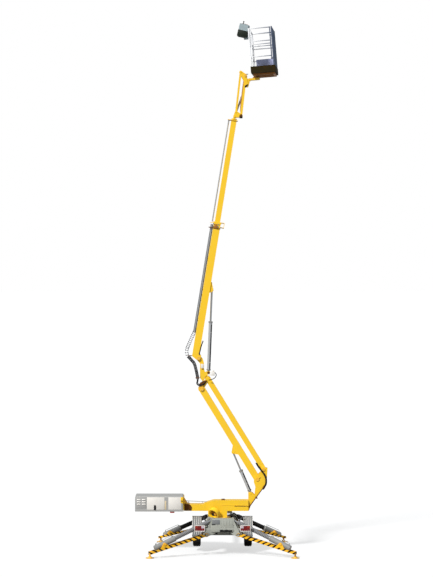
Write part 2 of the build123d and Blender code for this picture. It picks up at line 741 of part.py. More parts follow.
hood_gap = 6
with BuildPart() as power_box_hood:
    # a hollow cover with rounded upper corners and louvres, hinged along its far lower edge
    with BuildSketch(Plane.XY.offset(hood_base + seat_gap)):
        with Locations((box_middle - hood_gap / 2, 0)):
            RectangleRounded(box_length - hood_gap, 2 * box_half_depth, 30)
    extrude(amount=box_top - hood_base - seat_gap)
    fillet(power_box_hood.faces().sort_by(Axis.Z)[-1].edges(), 26)
    offset(amount=-4, openings=power_box_hood.faces().sort_by(Axis.Z)[0])
    with BuildSketch(side_view((box_left + 95, box_bottom + 245), 0, -box_half_depth)):
        with GridLocations(160, 62, 2, 3):
            Rectangle(100, 22)
    extrude(amount=20, both=True, mode=Mode.SUBTRACT)
    # the moving half of its two hinges, and notches that let its lower edge pass the lugs
    for x in hinge_places:
        for lug_x in (x - lug_offset, x + lug_offset):
            with Locations((lug_x, box_half_depth, hood_axis[1])):
                Box(lug_width + 8, 50, 48, mode=Mode.SUBTRACT)
        eye = Plane(origin=(x, *hood_axis), x_dir=(0, 1, 0), z_dir=(1, 0, 0))
        extrude(discs(eye, 2 * hinge_pin), amount=50, both=True)
        extrude(discs(eye, hinge_pin + pin_play), amount=51, both=True, mode=Mode.SUBTRACT)
save(power_box_hood, "power_box_hood")

# ---- lower arm, its link and its lift ram ---------------------------------------------------
slot_arm = 150  # how far the arm's upper end is open between its cheeks
slot_link = 120
lug_half = 36  # half the thickness of the knuckle's lug
arm_boss = tower_inner - cheek_play
with BuildPart() as lower_arm:
    extrude(
        block(cross_view(arm_pivot, arm_lean, 60), arm_depth, 2 * arm_half_width, wall),
        amount=arm_length - slot_arm - 60,
    )
    # the foot boss and the closing plates
    extrude(discs(side_view(arm_pivot), arm_depth / 2), amount=arm_boss, both=True)
    extrude(block(cross_view(arm_pivot, arm_lean, 40), arm_depth, 2 * arm_half_width), amount=40)
    extrude(
        block(cross_view(arm_pivot, arm_lean, arm_length - slot_arm - 10), arm_depth, 2 * arm_half_width),
        amount=10,
    )
    # the fork at the top
    fork = lug_half + cheek_play
    for side in (-1, 1):
        cheek = side_view(arm_pivot, arm_lean, side * (fork + arm_half_width) / 2)
        half_plate = (arm_half_width - fork) / 2
        extrude(discs(cheek, arm_depth / 2 + 4, (0, arm_length)), amount=half_plate, both=True)
        with BuildSketch(cheek):
            with Locations((0, arm_length - slot_arm / 2 - 10)):
                Rectangle(arm_depth, slot_arm + 20)
        extrude(amount=half_plate, both=True)
    # the bracket under the arm that takes the lift ram's rod
    for side in (-1, 1):
        lug = side_view(arm_pivot, arm_lean, side * (30 + 7))
        feet = [(-60, lift_eye_along - 110, 20), (-60, lift_eye_along + 150, 20)]
        extrude(hull_of(lug, (lift_eye_across, lift_eye_along, 38), *feet), amount=7, both=True)
        cap = side_view(lift_eye, 0, side * 47)
        extrude(discs(cap, 24), amount=3, both=True)
    extrude(discs(side_view(arm_pivot), 25 + pin_play), amount=arm_boss + 1, both=True, mode=Mode.SUBTRACT)
    top_bore = discs(side_view(arm_top), 25 + pin_play)
    extrude(top_bore, amount=arm_half_width + 1, both=True, mode=Mode.SUBTRACT)
save(lower_arm, "lower_arm")

with BuildPart() as lower_link:
    extrude(
        block(cross_view(link_pivot, arm_lean, 45), link_depth, 2 * link_half_width, 5),
        amount=arm_length - slot_link - 45,
    )
    extrude(discs(side_view(link_pivot), link_depth / 2), amount=arm_boss, both=True)
    extrude(block(cross_view(link_pivot, arm_lean, 30), link_depth, 2 * link_half_width), amount=30)
    extrude(
        block(cross_view(link_pivot, arm_lean, arm_length - slot_link - 10), link_depth, 2 * link_half_width),
        amount=10,
    )
    fork = lug_half + cheek_play
    for side in (-1, 1):
        cheek = side_view(link_pivot, arm_lean, side * (fork + link_half_width) / 2)
        half_plate = (link_half_width - fork) / 2
        extrude(discs(cheek, link_depth / 2, (0, arm_length)), amount=half_plate, both=True)
        with BuildSketch(cheek):
            with Locations((0, arm_length - slot_link / 2 - 10)):
                Rectangle(link_depth, slot_link + 20)
        extrude(amount=half_plate, both=True)
    extrude(discs(side_view(link_pivot), 22 + pin_play), amount=arm_boss + 1, both=True, mode=Mode.SUBTRACT)
    extrude(discs(side_view(link_top), 22 + pin_play), amount=arm_boss + 1, both=True, mode=Mode.SUBTRACT)
save(lower_link, "lower_link")


def make_ram(prefix, base, eye, base_pin, base_half, eye_half, barrel, rod, barrel_length):
    """A lift ram in the boom's plane: its barrel with the base eye, and its rod with the rod's eye."""
    lean = lean_of(base, eye)
    length = span(base, eye)
    with BuildPart() as ram_body:
        extrude(discs(cross_view(base, lean, base_pin + 28), barrel), amount=barrel_length - base_pin - 28)
        extrude(discs(cross_view(base, lean, base_pin), base_pin + 8), amount=30)
        extrude(discs(side_view(base), base_pin + 18), amount=base_half, both=True)
        # the gland nut
        extrude(discs(cross_view(base, lean, barrel_length - 40), barrel + 6), amount=40)
        bore = discs(cross_view(base, lean, base_pin + 44), rod + pin_play)
        extrude(bore, amount=barrel_length, mode=Mode.SUBTRACT)
        pin_bore = discs(side_view(base), base_pin + pin_play)
        extrude(pin_bore, amount=base_half + 1, both=True, mode=Mode.SUBTRACT)
    save(ram_body, f"{prefix}_barrel")
    with BuildPart() as ram_piston:
        rod_start = barrel_length - 100
        extrude(discs(cross_view(base, lean, rod_start), rod), amount=length - rod_start)
        extrude(discs(side_view(eye), rod + 12), amount=eye_half, both=True)
    save(ram_piston, f"{prefix}_rod")


make_ram(
    "lift_ram", lift_base, lift_eye, 20, 36 - cheek_play, 30 - cheek_play,
    lift_barrel_radius, lift_rod_radius, lift_barrel_length,
)

# ---- knuckle --------------------------------------------------------------------------------
neck_profile = shifted(
    boom_pivot,
    (38, -500), (38, -134), (-33, -54), (-33, 46), (47, 54), (107, -14), (140, -134),
    (140, -274), (182, -419), (272, -424), (262, -436), (205, -440), (160, -480),
    (150, -560), (100, -582),
)
with BuildPart() as knuckle:
    # the lug between the arm's and the link's upper ends, and the gooseneck above it
    lug_rounds = [(*arm_top, 48), (*link_top, 46)]
    extrude(hull_of(side_view(), *lug_rounds), amount=lug_half, both=True)
    neck_foot, neck_side = shifted(boom_pivot, (127, -434), (207, -454))
    neck_rounds = [(*link_top, 46), (*neck_foot, 50), (*neck_side, 20)]
    extrude(hull_of(side_view(), *neck_rounds), amount=lug_half, both=True)
    with BuildSketch(side_view()):
        with BuildLine():
            Polyline(*neck_profile, close=True)
        make_face()
        with Locations(boom_pivot):
            Circle(62)
    extrude(amount=50, both=True)
    # the two cheeks that hold the boom ram's base
    for side in (-1, 1):
        cheek = side_view((0, 0), 0, side * (36 + 7))
        cheek_foot, cheek_side = shifted(boom_pivot, (137, -394), (200, -425))
        cheek_rounds = [(*boom_ram_base, 42), (*cheek_foot, 30), (*cheek_side, 20)]
        extrude(hull_of(cheek, *cheek_rounds), amount=7, both=True)
    with BuildSketch(side_view(boom_ram_base)):
        Circle(46 + swing_gap)
    extrude(amount=36, both=True, mode=Mode.SUBTRACT)
    arm_pins = [(arm_top, 25, arm_half_width), (link_top, 22, link_half_width)]
    pins = [*arm_pins, (boom_pivot, 30, outer_half_width)]
    for place, radius, half in pins:
        extrude(discs(side_view(place), radius), amount=half + 8, both=True)
        for side in (-1, 1):
            extrude(discs(side_view(place, 0, side * (half + 5)), radius + 12), amount=4, both=True)
    extrude(discs(side_view(boom_ram_base), 22), amount=56, both=True)
save(knuckle, "knuckle")

# ---- boom -----------------------------------------------------------------------------------
with BuildPart() as boom_outer:
    section = cross_view(boom_pivot, boom_lean, outer_foot, boom_across)
    extrude(block(section, outer_depth, 2 * outer_half_width, wall), amount=outer_top - outer_foot)
    extrude(block(section, outer_depth, 2 * outer_half_width), amount=12)
    # the foot's two cheeks, round the knuckle's neck
    for side in (-1, 1):
        cheek = side_view(boom_pivot, boom_lean, side * (52 + outer_half_width) / 2)
        left = boom_across - outer_depth / 2
        right = boom_across + outer_depth / 2
        with BuildSketch(cheek):
            Circle(58)
            with BuildLine():
                Polyline(
                    (-58, -40), (left, 28), (left, outer_foot + 12), (right, outer_foot + 12),
                    (58, 70), (58, 0),
                    close=True,
                )
            make_face()
        extrude(amount=(outer_half_width - 52) / 2, both=True)
    pivot_bore = discs(side_view(boom_pivot), 30 + pin_play)
    extrude(pivot_bore, amount=outer_half_width + 1, both=True, mode=Mode.SUBTRACT)
    # the bracket that takes the boom ram's rod
    for side in (-1, 1):
        lug = side_view(boom_pivot, boom_lean, side * (36 + 7))
        face = boom_across + outer_depth / 2
        rounds = [(boom_eye_across, boom_eye_along, 40), (face + 8, boom_eye_along + 190, 12)]
        extrude(hull_of(lug, *rounds, (face + 8, boom_eye_along - 60, 12)), amount=7, both=True)
        extrude(discs(side_view(boom_eye, 0, side * 53), 26), amount=3, both=True)
    # the collar at the top, with its guide pads round the inner boom
    collar = cross_view(boom_pivot, boom_lean, outer_top - 60, boom_across)
    extrude(block(collar, outer_depth + 24, 2 * outer_half_width + 24), amount=60)
    slide_gap = 0.5
    extrude(
        block(collar.offset(-1), inner_depth + 2 * slide_gap, 2 * (inner_half_width + slide_gap)),
        amount=70,
        mode=Mode.SUBTRACT,
    )
    # the collar's two ears beside the carrier tube, and the hook on its other side
    ear_width = boom_across - outer_depth / 2 - tray_across + 50
    for side in (-1, 1):
        ear = cross_view(boom_pivot, boom_lean, outer_top - 45, tray_across - 50 + ear_width / 2)
        with BuildSketch(ear):
            with Locations((0, side * 44)):
                Rectangle(ear_width + 4, 40)
        extrude(amount=14)
    hook_root = boom_across + outer_depth / 2
    for along in (outer_top - 134, outer_top - 12):
        prong = cross_view(boom_pivot, boom_lean, along, hook_root + hook_reach / 2)
        extrude(block(prong, hook_reach, 60), amount=12)
    post = cross_view(boom_pivot, boom_lean, outer_top - 134, hook_root + hook_reach - 6)
    extrude(block(post, 12, 60), amount=134)
save(boom_outer, "boom_outer")

with BuildPart() as chain_tray:
    # a channel for the energy chain, on standoffs against the boom's left face
    with BuildSketch(cross_view(boom_pivot, boom_lean, tray_foot, tray_across)):
        Rectangle(tray_width, 90)
        Rectangle(tray_width - 2 * tray_sheet, 90 - 2 * tray_sheet, mode=Mode.SUBTRACT)
        with Locations((-tray_width / 2, 0)):
            Rectangle(20, 50, mode=Mode.SUBTRACT)
    extrude(amount=tray_length)
    gap_to_boom = (boom_across - outer_depth / 2) - (tray_across + tray_width / 2) - seat_gap
    for i in range(4):
        along = tray_foot + 65 + i * (tray_length - 140) / 3
        standoff = cross_view(boom_pivot, boom_lean, along, tray_across + (tray_width + gap_to_boom) / 2)
        extrude(block(standoff, gap_to_boom, 50), amount=40)
save(chain_tray, "chain_tray")

make_ram(
    "boom_ram", boom_ram_base, boom_eye, 22, 36 - cheek_play, 36 - cheek_play,
    boom_barrel_radius, boom_rod_radius, boom_barrel_length,
)

with BuildPart() as boom_inner:
    section = cross_view(boom_pivot, boom_lean, inner_foot, boom_across)
    extrude(block(section, inner_depth, 2 * inner_half_width, 5), amount=inner_top - inner_foot)
    # the closed top, with the lug of the levelling head
    cap = cross_view(boom_pivot, boom_lean, inner_top - 12, boom_across)
    extrude(block(cap, inner_depth, 2 * inner_half_width), amount=12)
    lug = side_view(head_pin, boom_lean)
    with BuildSketch(lug):
        Circle(34)
        with Locations((0, -40)):
            Rectangle(68, 80)
    extrude(amount=head_cheek - cheek_play, both=True)
    extrude(discs(side_view(head_pin), 18 + pin_play), amount=head_cheek + 1, both=True, mode=Mode.SUBTRACT)
    # the flange near the top, with the arm that holds the carrier tube
    flange = cross_view(boom_pivot, boom_lean, flange_along, boom_across)
    extrude(block(flange, inner_depth + 60, 2 * inner_half_width + 50), amount=14)
    arm_middle = (tray_across - 28 + boom_across - inner_depth / 2) / 2
    holder = cross_view(boom_pivot, boom_lean, flange_along, arm_middle)
    extrude(block(holder, boom_across - inner_depth / 2 - tray_across + 28, 60), amount=14)
    # the guide pads on its foot, inside the outer boom
    pad = cross_view(boom_pivot, boom_lean, inner_foot, boom_across)
    extrude(
        block(pad, outer_depth - 2 * wall - 1, 2 * (outer_half_width - wall) - 1),
        amount=60,
    )
    extrude(block(pad.offset(-1), inner_depth - 10, 2 * inner_half_width - 10), amount=70, mode=Mode.SUBTRACT)
save(boom_inner, "boom_inner")

with BuildPart() as carrier_tube:
    # the round tube that pulls the chain, hung under the boom head's arm
    tube = cross_view(boom_pivot, boom_lean, outer_top - 10, tray_across)
    extrude(discs(tube, carrier_radius), amount=flange_along - seat_gap - outer_top + 10)
save(carrier_tube, "carrier_tube")

# ---- levelling head, jib and its ram --------------------------------------------------------
with BuildPart() as jib_head:
    # two cheeks with three pins through them
    for side in (-1, 1):
        cheek = side_view((0, 0), 0, side * (head_cheek + 6))
        extrude(hull_of(cheek, (*head_pin, 36), (*link_pin, 32), (*jib_pin, 34)), amount=6, both=True)
    for place, radius in ((head_pin, 18), (link_pin, 15), (jib_pin, 15)):
        extrude(discs(side_view(place), radius), amount=head_cheek + 12 + 8, both=True)
        for side in (-1, 1):
            extrude(discs(side_view(place, 0, side * (head_cheek + 16)), radius + 8), amount=4, both=True)
save(jib_head, "jib_head")

bar_boss = head_cheek - cheek_play
tube_middle = (jib_tube_inner + jib_tube_outer) / 2
tube_width = jib_tube_outer - jib_tube_inner
with BuildPart() as jib_arm:
    # two square tubes side by side, with a boss at each end and a cross tube
    for side in (-1, 1):
        with BuildSketch(cross_view(jib_pin, jib_lean).move(Location((0, side * tube_middle, 0)))):
            Rectangle(jib_depth, tube_width)
        extrude(amount=jib_length)
        eye_boss = side_view(jib_eye, 0, side * (jib_tube_inner + 2 + 20) / 2)
        extrude(discs(eye_boss, 20), amount=(jib_tube_inner + 2 - 20) / 2, both=True)
    for place in (jib_pin, jib_top):
        extrude(discs(side_view(place), jib_depth / 2), amount=bar_boss, both=True)
        extrude(discs(side_view(place), 15 + pin_play), amount=bar_boss + 1, both=True, mode=Mode.SUBTRACT)
save(jib_arm, "jib_arm")

with BuildPart() as jib_link:
    for side in (-1, 1):
        with BuildSketch(cross_view(link_pin, jib_lean).move(Location((0, side * tube_middle, 0)))):
            Rectangle(jib_depth - 10, tube_width)
        extrude(amount=jib_length)
        boss = side_view(link_pin, 0, side * (bar_boss + 30) / 2)
        extrude(discs(boss, jib_depth / 2 - 3), amount=(bar_boss - 30) / 2, both=True)
    extrude(discs(side_view(jib_link_top), jib_depth / 2 - 3), amount=bar_boss, both=True)
    for place in (link_pin, jib_link_top):
        extrude(discs(side_view(place), 15 + pin_play), amount=bar_boss + 1, both=True, mode=Mode.SUBTRACT)
save(jib_link, "jib_link")

make_ram(
    "jib_ram", link_pin, jib_eye, 15, 30 - cheek_play, 20 - cheek_play,
    jib_barrel_radius, jib_rod_radius, jib_barrel_length,
)

# ---- platform -------------------------------------------------------------------------------
turn_radius = 90
with BuildPart() as basket_bracket:
    # cheeks round the jib's upper pins, and the arm under the platform
    for side in (-1, 1):
        cheek = side_view((0, 0), 0, side * (head_cheek + 6))
        low_corner = shifted(jib_top, (44, -262))[0]
        extrude(hull_of(cheek, (*jib_link_top, 34), (*jib_top, 34), (*low_corner, 24)), amount=6, both=True)
    for place in (jib_link_top, jib_top):
        extrude(discs(side_view(place), 15), amount=head_cheek + 12 + 8, both=True)
        for side in (-1, 1):
            extrude(discs(side_view(place, 0, side * (head_cheek + 16)), 23), amount=4, both=True)
    wedge = shifted(jib_top, (44, -80), (172, -70), (172, -110), (112, -132), (66, -286), (24, -286))
    extrude(outline(side_view(), *wedge), amount=head_cheek + 1, both=True)
    deck = cross_view(turn_pin, basket_lean, -seat_gap)
    with BuildSketch(deck):
        Circle(turn_radius)
        with Locations((-100, 0)):
            Rectangle(200, 2 * turn_radius)
    extrude(amount=-50)
save(basket_bracket, "basket_bracket")

basket_base = Plane(cross_view(turn_pin, basket_lean).location * Location((0, 0, 0), (0, 0, basket_yaw)))
basket_middle = basket_left + basket_width / 2
with BuildPart() as basket_support:
    # the turning pad and the frame under the tray
    extrude(discs(basket_base, turn_radius), amount=30)
    with BuildSketch(basket_base.offset(30)):
        with Locations((basket_middle, 0)):
            Rectangle(basket_width - 60, 60)
        for y in (-400, 400):
            with Locations((basket_middle, y)):
                Rectangle(basket_width - 60, 50)
        for x in (basket_left + 70, basket_left + basket_width - 60):
            with Locations((x, 0)):
                Rectangle(50, 850)
    extrude(amount=50)
save(basket_support, "basket_support")

rail_inset = 6 + rail_radius + seat_gap
mat_margin = 2 * (rail_inset + rail_radius + 6)
tray_floor = basket_base.offset(80 + seat_gap)
with BuildPart() as basket_tray:
    # the floor with its toe boards
    with BuildSketch(tray_floor):
        with Locations((basket_middle, 0)):
            RectangleRounded(basket_width, basket_length, 20)
    extrude(amount=tray_height)
    with BuildSketch(tray_floor.offset(8)):
        with Locations((basket_middle, 0)):
            RectangleRounded(basket_width - 12, basket_length - 12, 14)
    extrude(amount=tray_height, mode=Mode.SUBTRACT)
    with BuildSketch(tray_floor.offset(8)):
        with Locations((basket_middle, 0)):
            Rectangle(basket_width - mat_margin, basket_length - mat_margin)
    extrude(amount=mat)
save(basket_tray, "basket_tray")

post_x = (basket_left + rail_inset, basket_left + basket_width - rail_inset)
post_y = basket_length / 2 - rail_inset
rail_base = 8 + seat_gap
gate_gap = 8
gate_tube = 14
gate_hinge_x = post_x[1] - 2 * rail_radius - gate_gap
gate_latch_x = post_x[0] + 2 * rail_radius + gate_gap
with BuildPart() as basket_rails:
    # posts standing on the floor inside the toe boards, and rails on three sides
    for x in post_x:
        for y in (-post_y, 0, post_y):
            with BuildSketch(tray_floor.offset(rail_base)):
                with Locations((x, y)):
                    Circle(rail_radius)
            extrude(amount=rail_height + rail_radius - rail_base)
    for x in post_x:
        for height in (400, 710, 785, rail_height):
            start = tray_floor.offset(height).location * Location((x, -post_y, 0))
            rail = Plane(start.position, x_dir=tray_floor.x_dir, z_dir=tray_floor.y_dir)
            extrude(discs(rail, 16 if height == rail_height else 12), amount=2 * post_y)
    for height in (400, 710, 785, rail_height):
        start = tray_floor.offset(height).location * Location((post_x[0], post_y, 0))
        rail = Plane(start.position, x_dir=tray_floor.y_dir, z_dir=tray_floor.x_dir)
        extrude(discs(rail, 16 if height == rail_height else 12), amount=post_x[1] - post_x[0])
    # the eyes that the gate's tube turns in
    for height in (330, 900):
        with BuildSketch(tray_floor.offset(height)):
            with Locations((gate_hinge_x, -post_y), (post_x[1], -post_y)):
                Circle(gate_tube + 8)
            make_hull()
            with Locations((gate_hinge_x, -post_y)):
                Circle(gate_tube + pin_play, mode=Mode.SUBTRACT)
        extrude(amount=20)
save(basket_rails, "basket_rails")

with BuildPart() as basket_gate:
    # the tubular gate across the near end
    for x in (gate_latch_x, gate_hinge_x):
        with BuildSketch(tray_floor.offset(300)):
            with Locations((x, -post_y)):
                Circle(gate_tube)
        extrude(amount=rail_height + gate_tube - 300)
    for height in (400, 710, 785, rail_height):
        start = tray_floor.offset(height).location * Location((gate_latch_x, -post_y, 0))
        rail = Plane(start.position, x_dir=tray_floor.y_dir, z_dir=tray_floor.x_dir)
        extrude(discs(rail, 12 if height == rail_height else 11), amount=gate_hinge_x - gate_latch_x)
save(basket_gate, "basket_gate")

with BuildPart() as control_console:
    # the tilted control box outside the left rail, with its bracket
    console_x = basket_left + console_place[0]
    box_frame = tray_floor.location * Location((console_x, 0, console_place[1]), (0, console_tilt, 0))
    width, depth, height = console_size
    with BuildSketch(Plane(box_frame)):
        RectangleRounded(width, depth, 15)
    extrude(amount=height / 2, both=True)
    bracket_end = post_x[0] - rail_radius - seat_gap
    bracket_reach = bracket_end - console_x
    with BuildSketch(tray_floor.offset(console_place[1] - height / 2 - 60)):
        with Locations((bracket_end - bracket_reach / 2, 0)):
            Rectangle(bracket_reach, 120)
    extrude(amount=100)
save(control_console, "control_console")
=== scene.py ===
"""Studio scene of a towable articulating boom lift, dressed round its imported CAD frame.

Everything is in metres in the frame's own axes: +Z up, +Y towards the tow coupling, and the
arm, boom and jib in the plane y = 0. Places are worked out from the frame's pins and boxes.
"""

import json
import logging
import math
from dataclasses import dataclass, field
from enum import Enum
from typing import Iterable, Optional, Sequence

import bpy
from bpy.types import Material, Node, NodeSocket, Object
from mathutils import Matrix, Vector

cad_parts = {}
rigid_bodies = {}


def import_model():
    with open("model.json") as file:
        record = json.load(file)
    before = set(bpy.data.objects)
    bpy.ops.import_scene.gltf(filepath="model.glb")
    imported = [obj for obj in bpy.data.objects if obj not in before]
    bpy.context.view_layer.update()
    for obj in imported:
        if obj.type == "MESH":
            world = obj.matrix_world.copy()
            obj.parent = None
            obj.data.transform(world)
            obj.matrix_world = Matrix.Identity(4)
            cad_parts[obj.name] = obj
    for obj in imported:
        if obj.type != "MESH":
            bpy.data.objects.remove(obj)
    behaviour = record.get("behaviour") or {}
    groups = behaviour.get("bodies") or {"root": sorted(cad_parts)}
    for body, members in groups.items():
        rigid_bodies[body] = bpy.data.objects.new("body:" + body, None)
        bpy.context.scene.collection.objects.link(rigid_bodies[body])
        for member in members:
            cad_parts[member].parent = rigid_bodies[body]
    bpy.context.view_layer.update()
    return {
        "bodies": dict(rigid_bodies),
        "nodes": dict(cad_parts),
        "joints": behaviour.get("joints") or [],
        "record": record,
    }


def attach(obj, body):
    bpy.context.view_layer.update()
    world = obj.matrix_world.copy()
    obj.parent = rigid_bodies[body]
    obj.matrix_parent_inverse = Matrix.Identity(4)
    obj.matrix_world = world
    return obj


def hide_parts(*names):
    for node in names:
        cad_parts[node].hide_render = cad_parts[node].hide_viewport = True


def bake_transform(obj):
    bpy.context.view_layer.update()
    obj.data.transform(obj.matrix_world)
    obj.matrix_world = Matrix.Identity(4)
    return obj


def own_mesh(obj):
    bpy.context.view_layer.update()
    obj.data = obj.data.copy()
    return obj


LOG = logging.getLogger("boom_lift")
SIDES = (("left", -1), ("right", 1))
LEGS = ("front_left", "front_right", "rear_left", "rear_right")
Colour = tuple[float, float, float]
Place = Sequence[float]
Path = tuple[tuple[float, ...], ...]
Path = tuple[tuple[float, ...], ...]
Path = tuple[tuple[float, ...], ...]
Path = tuple[tuple[float, ...], ...]


# ---- places in the frame --------------------------------------------------------------------
@dataclass(frozen=True)
class Seat:
    """A local frame in which a piece is modelled.

    Its x axis is across, its z axis is along, and its y axis completes them.
    """

    origin: Vector
    across: Vector
    along: Vector

    @property
    def matrix(self) -> Matrix:
        """The matrix from this seat to the machine's frame.

        Returns:
            The 4 x 4 matrix.
        """
        side = self.along.cross(self.across)
        turn = Matrix((self.across, side, self.along)).transposed()
        return Matrix.Translation(self.origin) @ turn.to_4x4()

    def at(self, x: float = 0.0, y: float = 0.0, z: float = 0.0) -> Vector:
        """The place in the machine's frame of a point in this seat."""
        return self.matrix @ Vector((x, y, z))

    def moved(self, x: float = 0.0, y: float = 0.0, z: float = 0.0) -> "Seat":
        """This seat with its origin moved along its own axes."""
        return Seat(self.at(x, y, z), self.across, self.along)

    def turned(self, axis: str, degrees: float) -> "Seat":
        """This seat turned about one of its own axes.

        Args:
            axis: "X", "Y" or "Z".
            degrees: the angle, positive by the right-hand rule.

        Returns:
            The turned seat, with the same origin.
        """
        turn = self.matrix.to_3x3() @ Matrix.Rotation(math.radians(degrees), 3, axis)
        return Seat(self.origin, turn.col[0].copy(), turn.col[2].copy())


def upright(x: float, y: float, z: float, heading: float = 0.0) -> Seat:
    """A seat that stands upright, its x axis pointing at a heading in degrees from +X."""
    a = math.radians(heading)
    return Seat(Vector((x, y, z)), Vector((math.cos(a), math.sin(a), 0)), Vector((0, 0, 1)))


ORIGIN = upright(0, 0, 0)


class Machine:
    """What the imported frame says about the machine's pins, members and nodes."""

    def __init__(self, frame: dict) -> None:
        """Reads the nodes, their slots and the joints.
        """
        self.nodes: dict[str, Object] = frame["nodes"]
        self.slots = {s["node"]: s["material_slot"] for s in frame["record"]["subparts"]}
        self.joints = {j["name"]: j for j in frame["record"]["behaviour"]["joints"]}

    def pin(self, joint: str) -> Vector:
        """The place of a joint's pin."""
        return Vector(self.joints[joint]["pos_m"])

    def axis(self, joint: str) -> Vector:
        """The direction of a joint's axis."""
        return Vector(self.joints[joint]["axis"]).normalized()

    def rise(self, joint: str) -> Vector:
        """The direction of a joint's axis, taken upwards."""
        way = self.axis(joint)
        return way if way.z > 0 else -way

    def member(self, origin: Vector, along: Vector) -> Seat:
        """The seat of a member in the boom's plane, from one pin along a direction."""
        along = along.normalized()
        return Seat(origin, Vector((along.z, 0, -along.x)), along)

    def extent(self, node: str, seat: Seat = ORIGIN) -> tuple[Vector, Vector]:
        """Lowest and highest corner of a node in a seat's own axes.

        Args:
            node: the CAD node's name.
            seat: the seat to measure in, or the machine's own axes.

        Returns:
            The two corners, in the seat's axes.
        """
        inverse = seat.matrix.inverted()
        points = [inverse @ v.co for v in self.nodes[node].data.vertices]
        low = Vector([min(p[i] for p in points) for i in range(3)])
        high = Vector([max(p[i] for p in points) for i in range(3)])
        return low, high


